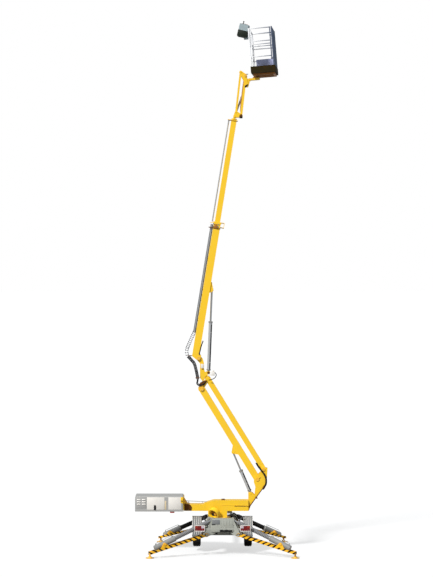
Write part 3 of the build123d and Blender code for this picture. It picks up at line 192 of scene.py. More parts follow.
# ---- modelling by operators -----------------------------------------------------------------
class Bench:
    """The modelling moves: each starts from a primitive and shapes it with operators."""

    @staticmethod
    def only(*pieces: Object) -> None:
        """Selects just these pieces and makes the first one active."""
        bpy.ops.object.select_all(action="DESELECT")
        for piece in pieces:
            piece.select_set(True)
        bpy.context.view_layer.objects.active = pieces[0]

    @staticmethod
    def settle(piece: Object, seat: Optional[Seat] = None) -> Object:
        """Moves a piece from its seat's axes to the machine's, and leaves its object at the origin.

        Args:
            piece: the piece to move.
            seat: where it stands, or None to leave it where it is.

        Returns:
            The same piece.
        """
        Bench.only(piece)
        if seat is not None:
            piece.data.transform(seat.matrix)
        bpy.ops.object.transform_apply(location=True, rotation=True, scale=True)
        return piece

    @staticmethod
    def smooth(piece: Object, degrees: float = 35.0) -> Object:
        """Shades a piece smooth, apart from edges sharper than an angle.

        Args:
            piece: the piece to shade.
            degrees: the angle from which an edge stays sharp.

        Returns:
            The same piece.
        """
        Bench.only(piece)
        bpy.ops.object.shade_smooth_by_angle(angle=math.radians(degrees))
        return piece

    @staticmethod
    def block(seat: Seat, centre: Sequence[float], size: Sequence[float], edge: float = 0.004) -> Object:
        """A box with rounded edges.

        Args:
            seat: the seat that the box is modelled in.
            centre: its middle, in the seat's axes.
            size: its three sizes.
            edge: the radius of its edges.

        Returns:
            The new object.
        """
        bpy.ops.object.select_all(action="DESELECT")
        bpy.ops.mesh.primitive_cube_add(size=1, location=centre, scale=size)
        piece = bpy.context.object
        bpy.ops.object.transform_apply(location=True, rotation=True, scale=True)
        if edge:
            bpy.ops.object.mode_set(mode="EDIT")
            bpy.ops.mesh.select_all(action="SELECT")
            bpy.ops.mesh.bevel(offset=edge, segments=2, affect="EDGES", clamp_overlap=True)
            bpy.ops.object.mode_set(mode="OBJECT")
        return Bench.settle(Bench.smooth(piece), seat)

    @staticmethod
    def outline(points: Sequence[tuple[float, float]]) -> Object:
        """A ring of edges through points of the x-z plane, left in edit mode with all selected.

        Args:
            points: the corners as (x, z) pairs, in order.

        Returns:
            The new object.
        """
        bpy.ops.object.select_all(action="DESELECT")
        bpy.ops.mesh.primitive_circle_add(vertices=len(points), radius=1, fill_type="NOTHING")
        piece = bpy.context.object
        for vertex, (x, z) in zip(piece.data.vertices, points):
            vertex.co = (x, 0, z)
        bpy.ops.object.mode_set(mode="EDIT")
        bpy.ops.mesh.select_all(action="SELECT")
        return piece

    @staticmethod
    def spun(seat: Seat, points: Sequence[tuple[float, float]], steps: int = 32) -> Object:
        """A round piece, spun from its section about the seat's z axis.

        Args:
            seat: the seat whose z axis is the piece's own.
            points: the section as (radius, height) pairs, in order round it.
            steps: how many flats the circle has.

        Returns:
            The new object.
        """
        piece = Bench.outline(points)
        bpy.ops.mesh.spin(steps=steps, angle=math.tau, center=(0, 0, 0), axis=(0, 0, 1))
        bpy.ops.mesh.select_all(action="SELECT")
        bpy.ops.mesh.remove_doubles(threshold=0.00001)
        bpy.ops.mesh.dissolve_degenerate(threshold=0.00001)
        bpy.ops.mesh.normals_make_consistent(inside=False)
        bpy.ops.object.mode_set(mode="OBJECT")
        return Bench.settle(Bench.smooth(piece), seat)

    @staticmethod
    def plate(
        seat: Seat, points: Sequence[tuple[float, float]], low: float, high: float, edge: float = 0.0
    ) -> Object:
        """A flat plate with an outline in the seat's x-z plane, from y = low to y = high.

        Args:
            seat: the seat that the plate is modelled in.
            points: its outline, in order.
            low: the y of one face.
            high: the y of the other face.
            edge: the radius of its edges, if they are rounded.

        Returns:
            The new object.
        """
        piece = Bench.outline(points)
        bpy.ops.mesh.edge_face_add()
        bpy.ops.mesh.extrude_region_move(TRANSFORM_OT_translate={"value": (0, high - low, 0)})
        bpy.ops.mesh.select_all(action="SELECT")
        bpy.ops.mesh.normals_make_consistent(inside=False)
        if edge:
            bpy.ops.mesh.bevel(offset=edge, segments=2, affect="EDGES", clamp_overlap=True)
        bpy.ops.object.mode_set(mode="OBJECT")
        piece.data.transform(Matrix.Translation((0, low, 0)))
        return Bench.settle(Bench.smooth(piece), seat)

    @staticmethod
    def hose(points: Iterable[Place], radius: float, order: int = 3) -> Object:
        """A round tube along a smooth line drawn through control points.

        Args:
            points: the control points, in the machine's frame.
            radius: the tube's radius.
            order: the line's order; 2 gives straight runs with sharp corners.

        Returns:
            The new object, as a mesh with closed ends.
        """
        places = [Vector(p) for p in points]
        curve = bpy.data.curves.new("hose", "CURVE")
        curve.dimensions = "3D"
        curve.bevel_depth = radius
        curve.bevel_resolution = 3
        curve.use_fill_caps = True
        spline = curve.splines.new("NURBS")
        spline.points.add(len(places) - 1)
        for point, place in zip(spline.points, places):
            point.co = (*place, 1)
        spline.order_u = order
        spline.use_endpoint_u = True
        spline.resolution_u = 6
        piece = bpy.data.objects.new("hose", curve)
        bpy.context.collection.objects.link(piece)
        Bench.only(piece)
        bpy.ops.object.convert(target="MESH")
        return Bench.smooth(bpy.context.object, 60)

    @staticmethod
    def rod(start: Place, end: Place, radius: float, sides: int = 16) -> Object:
        """A straight round bar between two places.

        Args:
            start: the middle of one end.
            end: the middle of the other end.
            radius: the bar's radius.
            sides: how many flats it has.

        Returns:
            The new object.
        """
        start, end = Vector(start), Vector(end)
        along = (end - start).normalized()
        helper = Vector((0, 1, 0)) if abs(along.y) < 0.9 else Vector((1, 0, 0))
        across = helper.cross(along).normalized()
        length = (end - start).length
        lip = min(radius * 0.25, length / 4)
        section = [
            (0, 0), (radius - lip, 0), (radius, lip), (radius, length - lip), (radius - lip, length),
            (0, length)
        ]
        return Bench.spun(Seat(start, across, along), section, sides)

    @staticmethod
    def bolt(seat: Seat, across_flats: float = 0.019, height: float = 0.008) -> Object:
        """A six-sided bolt head on a washer, standing along the seat's z axis.

        Args:
            seat: where it stands.
            across_flats: the head's width.
            height: the head's height.

        Returns:
            The new object.
        """
        washer = Bench.spun(
            seat, [(0, 0), (across_flats * 0.85, 0), (across_flats * 0.85, 0.002), (0, 0.002)], 20
        )
        corner = across_flats / 2 / math.cos(math.pi / 6)
        section = [
            (0, 0.0015), (corner, 0.0015), (corner, height * 0.8), (corner * 0.86, height), (0, height)
        ]
        return Bench.joined(washer, Bench.spun(seat, section, 6))

    @staticmethod
    def joined(*pieces: Object) -> Object:
        """Several pieces made into one.

        Args:
            pieces: the pieces; one alone is left as it is.

        Returns:
            The piece that is left.
        """
        Bench.only(*pieces)
        if len(pieces) > 1:
            bpy.ops.object.join()
        return bpy.context.view_layer.objects.active


def ring_section(
    inner: float, outer: float, low: float, high: float, lip: float = 0.0
) -> list[tuple[float, float]]:
    """The section of a ring, with its outer corners cut by lip.

    Args:
        inner: the ring's inner radius.
        outer: its outer radius.
        low: the height of its lower face.
        high: the height of its upper face.
        lip: how much is cut off its outer corners.

    Returns:
        (radius, height) pairs, in order round the section.
    """
    return [
        (inner, low), (outer - lip, low), (outer, low + lip), (outer, high - lip), (outer - lip, high),
        (inner, high)
    ]


def disc_section(radius: float, low: float, high: float, lip: float = 0.0) -> list[tuple[float, float]]:
    """The section of a disc, with its outer corners cut by lip."""
    return ring_section(0.0, radius, low, high, lip)


# ---- finishes -------------------------------------------------------------------------------
class Board:
    """A material's node board, with short calls for the nodes that the finishes use."""

    def __init__(self, name: str) -> None:
        """Makes a material with a shader and object coordinates.

        Args:
            name: the material's name.
        """
        self.material = bpy.data.materials.new(name)
        self.material.use_nodes = True
        self.nodes = self.material.node_tree.nodes
        self.shader = self.nodes["Principled BSDF"]
        self.place = self.nodes.new("ShaderNodeTexCoord").outputs["Object"]

    def add(self, kind: str, **settings: object) -> Node:
        """Adds a node and sets its properties.

        Args:
            kind: the node's type.
            settings: its properties, by name.

        Returns:
            The new node.
        """
        node = self.nodes.new(kind)
        for key, value in settings.items():
            setattr(node, key, value)
        return node

    def link(self, source: NodeSocket, target: NodeSocket) -> None:
        """Joins two sockets."""
        self.material.node_tree.links.new(source, target)

    def noise(
        self, scale: float, detail: float = 3.0, stretch: Optional[Sequence[float]] = None
    ) -> NodeSocket:
        """A noise pattern on object coordinates, about 0 to 1.

        Args:
            scale: blotches per metre.
            detail: how many finer layers it has.
            stretch: factors for the three axes, below 1 to draw the pattern out.

        Returns:
            The socket that holds the pattern.
        """
        noise = self.add("ShaderNodeTexNoise")
        noise.inputs["Scale"].default_value = scale
        noise.inputs["Detail"].default_value = detail
        if stretch is None:
            self.link(self.place, noise.inputs["Vector"])
        else:
            mapping = self.add("ShaderNodeMapping")
            mapping.inputs["Scale"].default_value = stretch
            self.link(self.place, mapping.inputs["Vector"])
            self.link(mapping.outputs["Vector"], noise.inputs["Vector"])
        return noise.outputs["Fac"]

    def span(
        self, value: NodeSocket, low: float, high: float, start: float = 0.0, end: float = 1.0
    ) -> NodeSocket:
        """Maps low..high of a value to start..end, held at both ends.

        Args:
            value: the socket to map.
            low: the value that gives start.
            high: the value that gives end.
            start: the result at low.
            end: the result at high.

        Returns:
            The socket that holds the result.
        """
        node = self.add("ShaderNodeMapRange", clamp=True)
        self.link(value, node.inputs["Value"])
        for key, number in (("From Min", low), ("From Max", high), ("To Min", start), ("To Max", end)):
            node.inputs[key].default_value = number
        return node.outputs["Result"]

    def sum(self, operation: str, first: NodeSocket, second: NodeSocket | float) -> NodeSocket:
        """A sum of two values, such as MULTIPLY, MAXIMUM or GREATER_THAN.

        Args:
            operation: the Math node's operation.
            first: the first value.
            second: the second value, a socket or a plain number.

        Returns:
            The socket that holds the result.
        """
        node = self.add("ShaderNodeMath", operation=operation)
        self.link(first, node.inputs[0])
        if isinstance(second, NodeSocket):
            self.link(second, node.inputs[1])
        else:
            node.inputs[1].default_value = second
        return node.outputs["Value"]

    def along(self, direction: Sequence[float]) -> NodeSocket:
        """Distance along a direction, in that vector's own units.

        Args:
            direction: the vector to measure along.

        Returns:
            The socket that holds the distance.
        """
        node = self.add("ShaderNodeVectorMath", operation="DOT_PRODUCT")
        self.link(self.place, node.inputs[0])
        node.inputs[1].default_value = direction
        return node.outputs["Value"]

    def mix(
        self, factor: NodeSocket, first: NodeSocket | Colour, second: NodeSocket | Colour
    ) -> NodeSocket:
        """Blends two colours by a factor.

        Args:
            factor: 0 for the first colour, 1 for the second.
            first: a socket or a plain colour.
            second: a socket or a plain colour.

        Returns:
            The socket that holds the blend.
        """
        node = self.add("ShaderNodeMix", data_type="RGBA")
        self.link(factor, node.inputs["Factor"])
        for key, colour in ((6, first), (7, second)):
            if isinstance(colour, NodeSocket):
                self.link(colour, node.inputs[key])
            else:
                node.inputs[key].default_value = (*colour, 1)
        return node.outputs[2]

    def colour(self, source: NodeSocket) -> None:
        """Sets the surface's colour."""
        self.link(source, self.shader.inputs["Base Color"])

    def set(self, **values: float) -> None:
        """Sets plain numbers on the shader, such as Coat_Weight=0.3."""
        for key, value in values.items():
            self.shader.inputs[key.replace("_", " ")].default_value = value

    def rough(self, source: NodeSocket) -> None:
        """Sets the surface's roughness."""
        self.link(source, self.shader.inputs["Roughness"])

    def bump(self, height: NodeSocket, distance: float, strength: float = 1.0) -> None:
        """Gives the surface a relief of a height in metres.

        Args:
            height: the socket that holds the height.
            distance: how far the relief reaches.
            strength: how much of it shows.
        """
        node = self.add("ShaderNodeBump")
        node.inputs["Distance"].default_value = distance
        node.inputs["Strength"].default_value = strength
        self.link(height, node.inputs["Height"])
        self.link(node.outputs["Normal"], self.shader.inputs["Normal"])


def scaled(colour: Colour, factor: float) -> Colour:
    """A colour made darker or lighter."""
    return tuple(min(1.0, c * factor) for c in colour)


@dataclass(frozen=True)
class Paint:
    """Sprayed enamel: cloudy colour, fine orange peel, dust and a few stone chips."""

    name: str
    base: Colour
    rough: float = 0.38
    coat: float = 0.25
    dust: float = 0.25
    dust_colour: Colour = (0.42, 0.37, 0.29)
    chips: float = 0.5
    shine: float = 0.5

    def tint(self, board: Board) -> NodeSocket:
        """The clean paint's colour; striped paints replace this."""
        return board.mix(board.noise(2.3, 4), scaled(self.base, 0.93), scaled(self.base, 1.05))

    def material(self) -> Material:
        """Builds the finish.

        Returns:
            The new material.
        """
        board = Board(self.name)
        clouds = board.noise(11, 5)
        dusty = board.sum("MULTIPLY", board.span(clouds, 0.52, 0.74), self.dust)
        chipped = board.span(board.noise(85, 2), 0.735, 0.75, 0, self.chips)
        streaks = board.sum(
            "MULTIPLY", board.span(board.noise(14, 3, (1, 1, 0.12)), 0.55, 0.8), self.dust * 0.5
        )
        clean = board.mix(streaks, self.tint(board), scaled(self.dust_colour, 0.7))
        worn = board.mix(dusty, clean, self.dust_colour)
        board.colour(board.mix(chipped, worn, (0.13, 0.11, 0.1)))
        board.rough(board.span(clouds, 0.3, 0.8, self.rough - 0.07, self.rough + 0.16))
        board.set(Coat_Weight=self.coat, Coat_Roughness=0.15, Specular_IOR_Level=self.shine)
        board.bump(board.noise(330, 2), 0.0006, 0.35)
        return board.material


@dataclass(frozen=True)
class StripedPaint(Paint):
    """Enamel with slanting warning bands, drawn along a direction."""

    second: Colour = (0.004, 0.004, 0.004)
    direction: tuple[float, float, float] = (7.0, 0.0, 0.0)

    def tint(self, board: Board) -> NodeSocket:
        """Bands of the two colours, the second over two fifths of the direction's own unit.

        Args:
            board: the board of the material.

        Returns:
            The socket that holds the colour.
        """
        phase = board.sum("FRACT", board.along(self.direction), 0.0)
        band = board.span(board.sum("ABSOLUTE", board.sum("SUBTRACT", phase, 0.5), 0.0), 0.2, 0.21)
        return board.mix(band, self.second, board.mix(board.noise(3), scaled(self.base, 0.92), self.base))


@dataclass(frozen=True)
class Metal:
    """Bare or plated metal with fine drawn lines and a little tarnish."""

    name: str
    base: Colour
    rough: float = 0.3
    lines: tuple[float, float, float] = (1.0, 1.0, 0.05)
    tarnish: float = 0.2
    tarnish_colour: Colour = (0.2, 0.17, 0.13)
    metallic: float = 1.0

    def material(self) -> Material:
        """Builds the finish.

        Returns:
            The new material.
        """
        board = Board(self.name)
        lines = board.noise(240, 3, self.lines)
        cloud = board.noise(9, 5)
        tone = board.mix(lines, scaled(self.base, 0.84), scaled(self.base, 1.1))
        stain = board.sum("MULTIPLY", board.span(cloud, 0.5, 0.78), self.tarnish)
        board.colour(board.mix(stain, tone, self.tarnish_colour))
        board.rough(board.span(lines, 0.2, 0.8, self.rough - 0.08, self.rough + 0.14))
        board.set(Metallic=self.metallic)
        board.bump(lines, 0.0004, 0.3)
        return board.material


@dataclass(frozen=True)
class Polymer:
    """Rubber or plastic: fine moulded grain, with dust in patches."""

    name: str
    base: Colour
    rough: float = 0.7
    grain: float = 420.0
    relief: float = 0.0005
    dust: float = 0.18
    dust_colour: Colour = (0.32, 0.28, 0.22)
    gloss: float = 0.0
    shine: float = 0.2

    def material(self) -> Material:
        """Builds the finish.

        Returns:
            The new material.
        """
        board = Board(self.name)
        cloud = board.noise(7, 5)
        tone = board.mix(board.noise(40, 3), scaled(self.base, 0.8), scaled(self.base, 1.25))
        board.colour(
            board.mix(
                board.sum("MULTIPLY", board.span(cloud, 0.46, 0.8), self.dust), tone, self.dust_colour
            )
        )
        board.rough(board.span(cloud, 0.3, 0.75, self.rough - 0.06, min(1.0, self.rough + 0.12)))
        board.set(Coat_Weight=self.gloss, Coat_Roughness=0.1, Specular_IOR_Level=self.shine)
        board.bump(board.noise(self.grain, 2), self.relief, 0.5)
        return board.material


@dataclass(frozen=True)
class Lens:
    """Coloured lamp plastic over a moulded grid of small prisms."""

    name: str
    base: Colour
    pitch: float = 0.009

    def material(self) -> Material:
        """Builds the finish.

        Returns:
            The new material.
        """
        board = Board(self.name)
        across = board.sum("FRACT", board.along((1 / self.pitch, 0, 0)), 0.0)
        rise = board.sum("FRACT", board.along((0, 0, 1 / self.pitch)), 0.0)
        prism = board.sum("MULTIPLY", board.span(across, 0, 1, -1, 1), board.span(across, 0, 1, -1, 1))
        prism = board.sum(
            "ADD", prism,
            board.sum("MULTIPLY", board.span(rise, 0, 1, -1, 1), board.span(rise, 0, 1, -1, 1))
        )
        board.colour(board.mix(board.span(prism, 0, 1.6), scaled(self.base, 1.25), scaled(self.base, 0.6)))
        board.set(Roughness=0.25, Coat_Weight=0.2, Coat_Roughness=0.08)
        board.bump(prism, 0.0008, 0.6)
        return board.material


class Shade(Enum):
    """The machine's finishes, each with the record's slot that it belongs to."""

    YELLOW = (Paint("yellow_enamel", (1.0, 0.595, 0.014), dust=0.04, chips=0.3), "yellow_paint")
    FOOT = (Paint("foot_enamel", (0.92, 0.5, 0.03), dust=0.35), "foot_paint")
    CHASSIS = (Paint("chassis_enamel", (0.4, 0.41, 0.36), rough=0.45, dust=0.2), "chassis_paint")
    RAM = (Paint("ram_enamel", (0.42, 0.43, 0.44), rough=0.36, dust=0.2), "ram_paint")
    LEG_RAM = (Paint("leg_ram_enamel", (0.27, 0.27, 0.26), rough=0.4, dust=0.3), "ram_paint")
    HOOD = (Paint("hood_enamel", (0.4, 0.395, 0.38), rough=0.42, dust=0.15, coat=0.15), "box_paint")
    PANEL = (Paint("panel_white", (0.83, 0.79, 0.73), rough=0.4, dust=0.12, chips=0.1), "box_paint")
    MOTOR = (
        Paint(
            "motor_enamel", (0.02, 0.02, 0.023), rough=0.5, coat=0.05, dust=0.2,
            dust_colour=(0.16, 0.15, 0.13)
        ),
        "motor_paint"
    )
    # The platform's tray and toe boards in painted shade: near-black brown, with orange-brown dust patches
    # that also stand for a painted reflection of the orange frame below.
    DARK = (
        Paint(
            "tray_painted_shade", (0.022, 0.014, 0.0012), rough=0.75, coat=0.0, shine=0.15, dust=0.12,
            dust_colour=(0.17, 0.08, 0.015)
        ),
        "dark_tray"
    )
    # Yellow paint in painted shade: the brown that the yellow paint shows in shadow, put on plates, strips,
    # caps and clamps that sit in shade.
    PAINTED_SHADE_BROWN = (
        Paint(
            "yellow_painted_shade_brown", (0.12, 0.038, 0.003), rough=0.6, coat=0.0, shine=0.2, dust=0.12,
            dust_colour=(0.2, 0.09, 0.02)
        ),
        "yellow_paint"
    )
    # Orange-brown painted shade of the yellow paint, lighter than the brown: the port's inside, the
    # collar's pad cover, the jib hose and the platform's support frame.
    PAINTED_SHADE_ORANGE = (Paint("yellow_painted_half_shade", (0.36, 0.13, 0.012), rough=0.5, coat=0.1, dust=0.15), "yellow_paint")
    SAND = (Paint("sand_strip", (0.72, 0.58, 0.36), rough=0.42, dust=0.1, chips=0.1), "box_paint")
    CHROME = (
        Metal("chromed_rod", (0.72, 0.73, 0.75), rough=0.14, lines=(1, 1, 1), tarnish=0.05), "chromed_rod"
    )
    ZINC = (Metal("zinc_plate", (0.52, 0.52, 0.5), rough=0.42, tarnish=0.35), "zinc_steel")
    RIM = (Metal("rim_silver", (0.55, 0.55, 0.55), rough=0.45, lines=(1, 1, 1), metallic=0.5), "rim_steel")
    ALUMINIUM = (
        Metal(
            "rail_aluminium", (0.74, 0.76, 0.81), rough=0.34, tarnish=0.25, tarnish_colour=(0.3, 0.36, 0.46)
        ),
        "aluminium"
    )
    # Bluish slate painted shade, for the platform's right side, whose posts lie in shade.
    PAINTED_SHADE_SLATE = (
        Paint(
            "slate_painted_shade", (0.09, 0.14, 0.24), rough=0.5, coat=0.05, dust=0.1, dust_colour=(0.2, 0.26, 0.36)
        ),
        "aluminium"
    )
    # Lilac painted shade, for the far toe board's inner face seen in bluish shade.
    PAINTED_SHADE_LILAC = (
        Paint("lilac_painted_shade", (0.55, 0.58, 0.85), rough=0.5, coat=0.05, dust=0.1, dust_colour=(0.3, 0.3, 0.4)),
        "aluminium"
    )
    TRAY = (
        Metal(
            "tray_aluminium", (0.62, 0.63, 0.64), rough=0.42, tarnish=0.3, tarnish_colour=(0.28, 0.28, 0.3)
        ),
        "aluminium"
    )
    GUARD = (Polymer("guard_plastic", (0.2, 0.21, 0.215), rough=0.6), "guard_plastic")
    CHAIN = (Polymer("chain_plastic", (0.09, 0.09, 0.095), rough=0.5, dust=0.1), "black_plastic")
    RUBBER = (
        Polymer(
            "black_hose", (0.007, 0.007, 0.0075), rough=0.55, dust=0.1, dust_colour=(0.06, 0.055, 0.05)
        ),
        "black_rubber"
    )
    TYRE = (
        Polymer(
            "tyre_rubber", (0.008, 0.0078, 0.0075), rough=0.8, dust=0.25, dust_colour=(0.09, 0.075, 0.06)
        ),
        "tyre_rubber"
    )
    BELLOWS = (Polymer("gaiter_gray", (0.22, 0.22, 0.225), rough=0.6, dust=0.15), "ram_paint")
    # The gray gaiter in painted shade: near black, for the front legs' gaiters that stand in shade.
    SHADED_BELLOWS = (
        Polymer(
            "gaiter_painted_shade", (0.01, 0.0095, 0.009), rough=0.6, dust=0.15, dust_colour=(0.08, 0.07, 0.06)
        ),
        "black_rubber"
    )
    BLACK = (
        Polymer("black_plastic", (0.01, 0.01, 0.011), rough=0.5, dust=0.1, dust_colour=(0.07, 0.065, 0.06)),
        "black_plastic"
    )
    CONSOLE = (Polymer("console_gray", (0.33, 0.4, 0.42), rough=0.5, gloss=0.2), "console_plastic")
    CONSOLE_DARK = (
        Polymer(
            "console_dark", (0.012, 0.017, 0.011), rough=0.55, dust=0.1, dust_colour=(0.06, 0.07, 0.05)
        ),
        "black_plastic"
    )
    RED_LENS = (Lens("lens_red", (0.17, 0.001, 0.003)), "lamp_red")
    AMBER_LENS = (Lens("lens_amber", (0.3, 0.02, 0.008)), "lamp_red")
    WHITE_LENS = (Lens("lens_white", (0.6, 0.5, 0.55)), "lamp_red")
    RED_KNOB = (Polymer("red_plastic", (0.5, 0.03, 0.01), rough=0.35, gloss=0.5), "lamp_red")

    @property
    def slot(self) -> str:
        """The record's material slot."""
        return self.value[1]


class Wardrobe:
    """Makes each finish once, and puts finishes on pieces and nodes."""

    def __init__(self) -> None:
        """Starts with no finish made."""
        self.made: dict[str, Material] = {}

    def get(self, finish: "Shade | Paint") -> Material:
        """The material of a finish, made the first time that it is asked for.

        Args:
            finish: one of the shared finishes, or a paint of its own.

        Returns:
            The finish's one material.
        """
        maker = finish.value[0] if isinstance(finish, Shade) else finish
        if maker.name not in self.made:
            self.made[maker.name] = maker.material()
        return self.made[maker.name]

    def dress(self, piece: Object, finish: "Shade | Paint") -> None:
        """Gives a piece one finish all over.

        Args:
            piece: the piece to dress.
            finish: one of the shared finishes, or a paint of its own.
        """
        piece.data.materials.clear()
        piece.data.materials.append(self.get(finish))
        for polygon in piece.data.polygons:
            polygon.material_index = 0


# ---- the shop and the studio ----------------------------------------------------------------
class Shop:
    """Hands every finished piece its name, its body and its finish."""

    def __init__(self, machine: Machine, wardrobe: Wardrobe) -> None:
        """Keeps the machine and the finishes at hand."""
        self.machine = machine
        self.wardrobe = wardrobe

    def hand_over(self, piece: Object, name: str, body: str, shade: Shade) -> Object:
        """Names a piece, dresses it and makes it ride on a body.

        Args:
            piece: the finished mesh, in the machine's frame.
            name: the name to give it.
            body: the CAD body that it moves with.
            shade: its finish.

        Returns:
            The same object.
        """
        piece.name = piece.data.name = name
        self.wardrobe.dress(piece, shade)
        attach(piece, body)
        shade.slot
        LOG.info("%s rides on %s in %s", name, body, shade.name)
        return piece

    def hand_over_bent(
        self, piece: Object, name: str, bodies: tuple[str, str], ends: tuple[Vector, Vector], shade: Shade
    ) -> Object:
        """Names and dresses a flexible piece laid between two bodies; it rides on neither and stays where
        it is.

        Args:
            piece: the finished mesh, in the machine's frame.
            name: the name to give it.
            bodies: the bodies at its two ends, named in the log.
            ends: not used.
            shade: its finish.

        Returns:
            The same object.
        """
        piece.name = piece.data.name = name
        self.wardrobe.dress(piece, shade)
        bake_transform(piece)
        shade.slot
        LOG.info("%s bends between %s and %s", name, *bodies)
        return piece


@dataclass
class SubAssembly:
    """What every sub-assembly shares: short calls to measure, to model and to hand over."""

    shop: Shop

    @property
    def machine(self) -> Machine:
        """The machine that the pieces are fitted to."""
        return self.shop.machine

    def extent(self, node: str, seat: Seat = ORIGIN) -> tuple[Vector, Vector]:
        """Lowest and highest corner of a node, in a seat's axes or the machine's own."""
        return self.machine.extent(node, seat)

    def give(self, pieces: Object | Sequence[Object], name: str, body: str, shade: Shade) -> Object:
        """Hands over one piece, or several joined into one.

        Args:
            pieces: the finished mesh or meshes, in the machine's frame.
            name: the name to give it.
            body: the CAD body that it moves with.
            shade: its finish.

        Returns:
            The one object.
        """
        whole = pieces if isinstance(pieces, Object) else Bench.joined(*pieces)
        return self.shop.hand_over(whole, name, body, shade)

    def blocks(
        self, name: str, body: str, shade: Shade, seat: Seat, *rows: tuple[Place, Place, float]
    ) -> None:
        """Hands over one piece made of blocks.

        Args:
            name: the name to give it.
            body: the CAD body that it moves with.
            shade: its finish.
            seat: the seat that the blocks are modelled in.
            rows: each block's middle, its three sizes and the radius of its edges.
        """
        self.give([Bench.block(seat, *row) for row in rows], name, body, shade)


# ---- wheels ---------------------------------------------------------------------------------
@dataclass
class Wheel(SubAssembly):
    """One road wheel: a treaded tyre on its rim, with nuts, a dust cap and a valve."""

    side: str
    sign: int
    groove: float = 0.008
    tread_half: float = 0.077
    nut_circle: float = 0.0715
    nuts: int = 5
    bead: float = 0.192
    flats: int = 132

    def build(self) -> None:
        """Builds the tyre and what is fastened to the rim."""
        hub = self.machine.pin(f"wheel_{self.side}_spin")
        seat = Seat(hub, Vector((0, 0, 1)), Vector((self.sign, 0, 0)))
        high = self.extent(f"tyre_{self.side}", seat)[1]
        body = f"wheel_{self.side}"
        tyre = self.give(self.tyre(seat, high.x, high.z), f"tyre_tread_{self.side}", body, Shade.TYRE)
        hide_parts(f"tyre_{self.side}")
        rim_face = self.extent(f"rim_{self.side}", seat)[1].z
        self.give(self.hub_fittings(seat, rim_face), f"wheel_nuts_{self.side}", body, Shade.ZINC)
        valve_seat = seat.turned("Z", 25)
        valve = Bench.rod(valve_seat.at(0.168, 0, 0.02), valve_seat.at(0.155, 0, 0.062), 0.0055, 10)
        self.give(valve, f"tyre_valve_{self.side}", body, Shade.RUBBER)

    def tyre(self, seat: Seat, radius: float, half_width: float) -> Object:
        """The tyre: a spun section with three grooves, and cross cuts sunk into its ribs.

        Args:
            seat: the wheel's seat, its z axis outwards.
            radius: the tread's radius.
            half_width: half the tyre's width.

        Returns:
            The tyre's mesh.
        """
        bead, t, g, steps = self.bead, self.tread_half, self.groove, self.flats
        half = [
            (bead, 0.074), (0.2, 0.084), (0.222, 0.094), (0.25, half_width), (0.276, 0.099), (0.297, 0.092)
        ]
        half += [(radius - 0.014, 0.086), (radius - 0.005, t)]
        crown = []
        for middle in (0.045, 0.0, -0.045):
            top = radius - 0.004 * (abs(middle) / t) ** 2
            crown += [
                (top, middle + 0.006), (top - g, middle + 0.0045), (top - g, middle - 0.0045),
                (top, middle - 0.006)
            ]
        section = half + crown + [(r, -z) for r, z in reversed(half)]
        tyre = Bench.spun(Seat(Vector(), Vector((1, 0, 0)), Vector((0, 0, 1))), section, steps)
        for polygon in tyre.data.polygons:
            x, y, z = polygon.center
            turn = math.atan2(y, x) % math.tau / math.tau * steps
            on_rib = math.hypot(x, y) > radius - 0.016 and polygon.area > 0.00009
            phase = int(turn) + (2 if z > 0.03 else 0) + (1 if -0.03 < z < 0.03 else 0)
            polygon.select = on_rib and phase % 4 == 0
        Bench.only(tyre)
        bpy.ops.object.mode_set(mode="EDIT")
        bpy.ops.mesh.select_mode(type="FACE")
        bpy.ops.mesh.extrude_region_shrink_fatten(TRANSFORM_OT_shrink_fatten={"value": -0.7 * g})
        bpy.ops.object.mode_set(mode="OBJECT")
        return Bench.settle(Bench.smooth(tyre, 30), seat)

    def hub_fittings(self, seat: Seat, rim_face: float) -> Object:
        """The wheel nuts on their circle and the domed dust cap over the hub.

        Args:
            seat: the wheel's seat.
            rim_face: the height of the rim's outer face.

        Returns:
            The nuts and the cap as one mesh.
        """
        pieces = [
            Bench.bolt(seat.turned("Z", 360 / self.nuts * i).moved(self.nut_circle, 0, 0.05), 0.021, 0.017)
            for i in range(self.nuts)
        ]
        cap = [
            (0, rim_face), (0.032, rim_face), (0.032, rim_face + 0.012), (0.024, rim_face + 0.021),
            (0, rim_face + 0.023)
        ]
        return Bench.joined(*pieces, Bench.spun(seat, cap, 28))


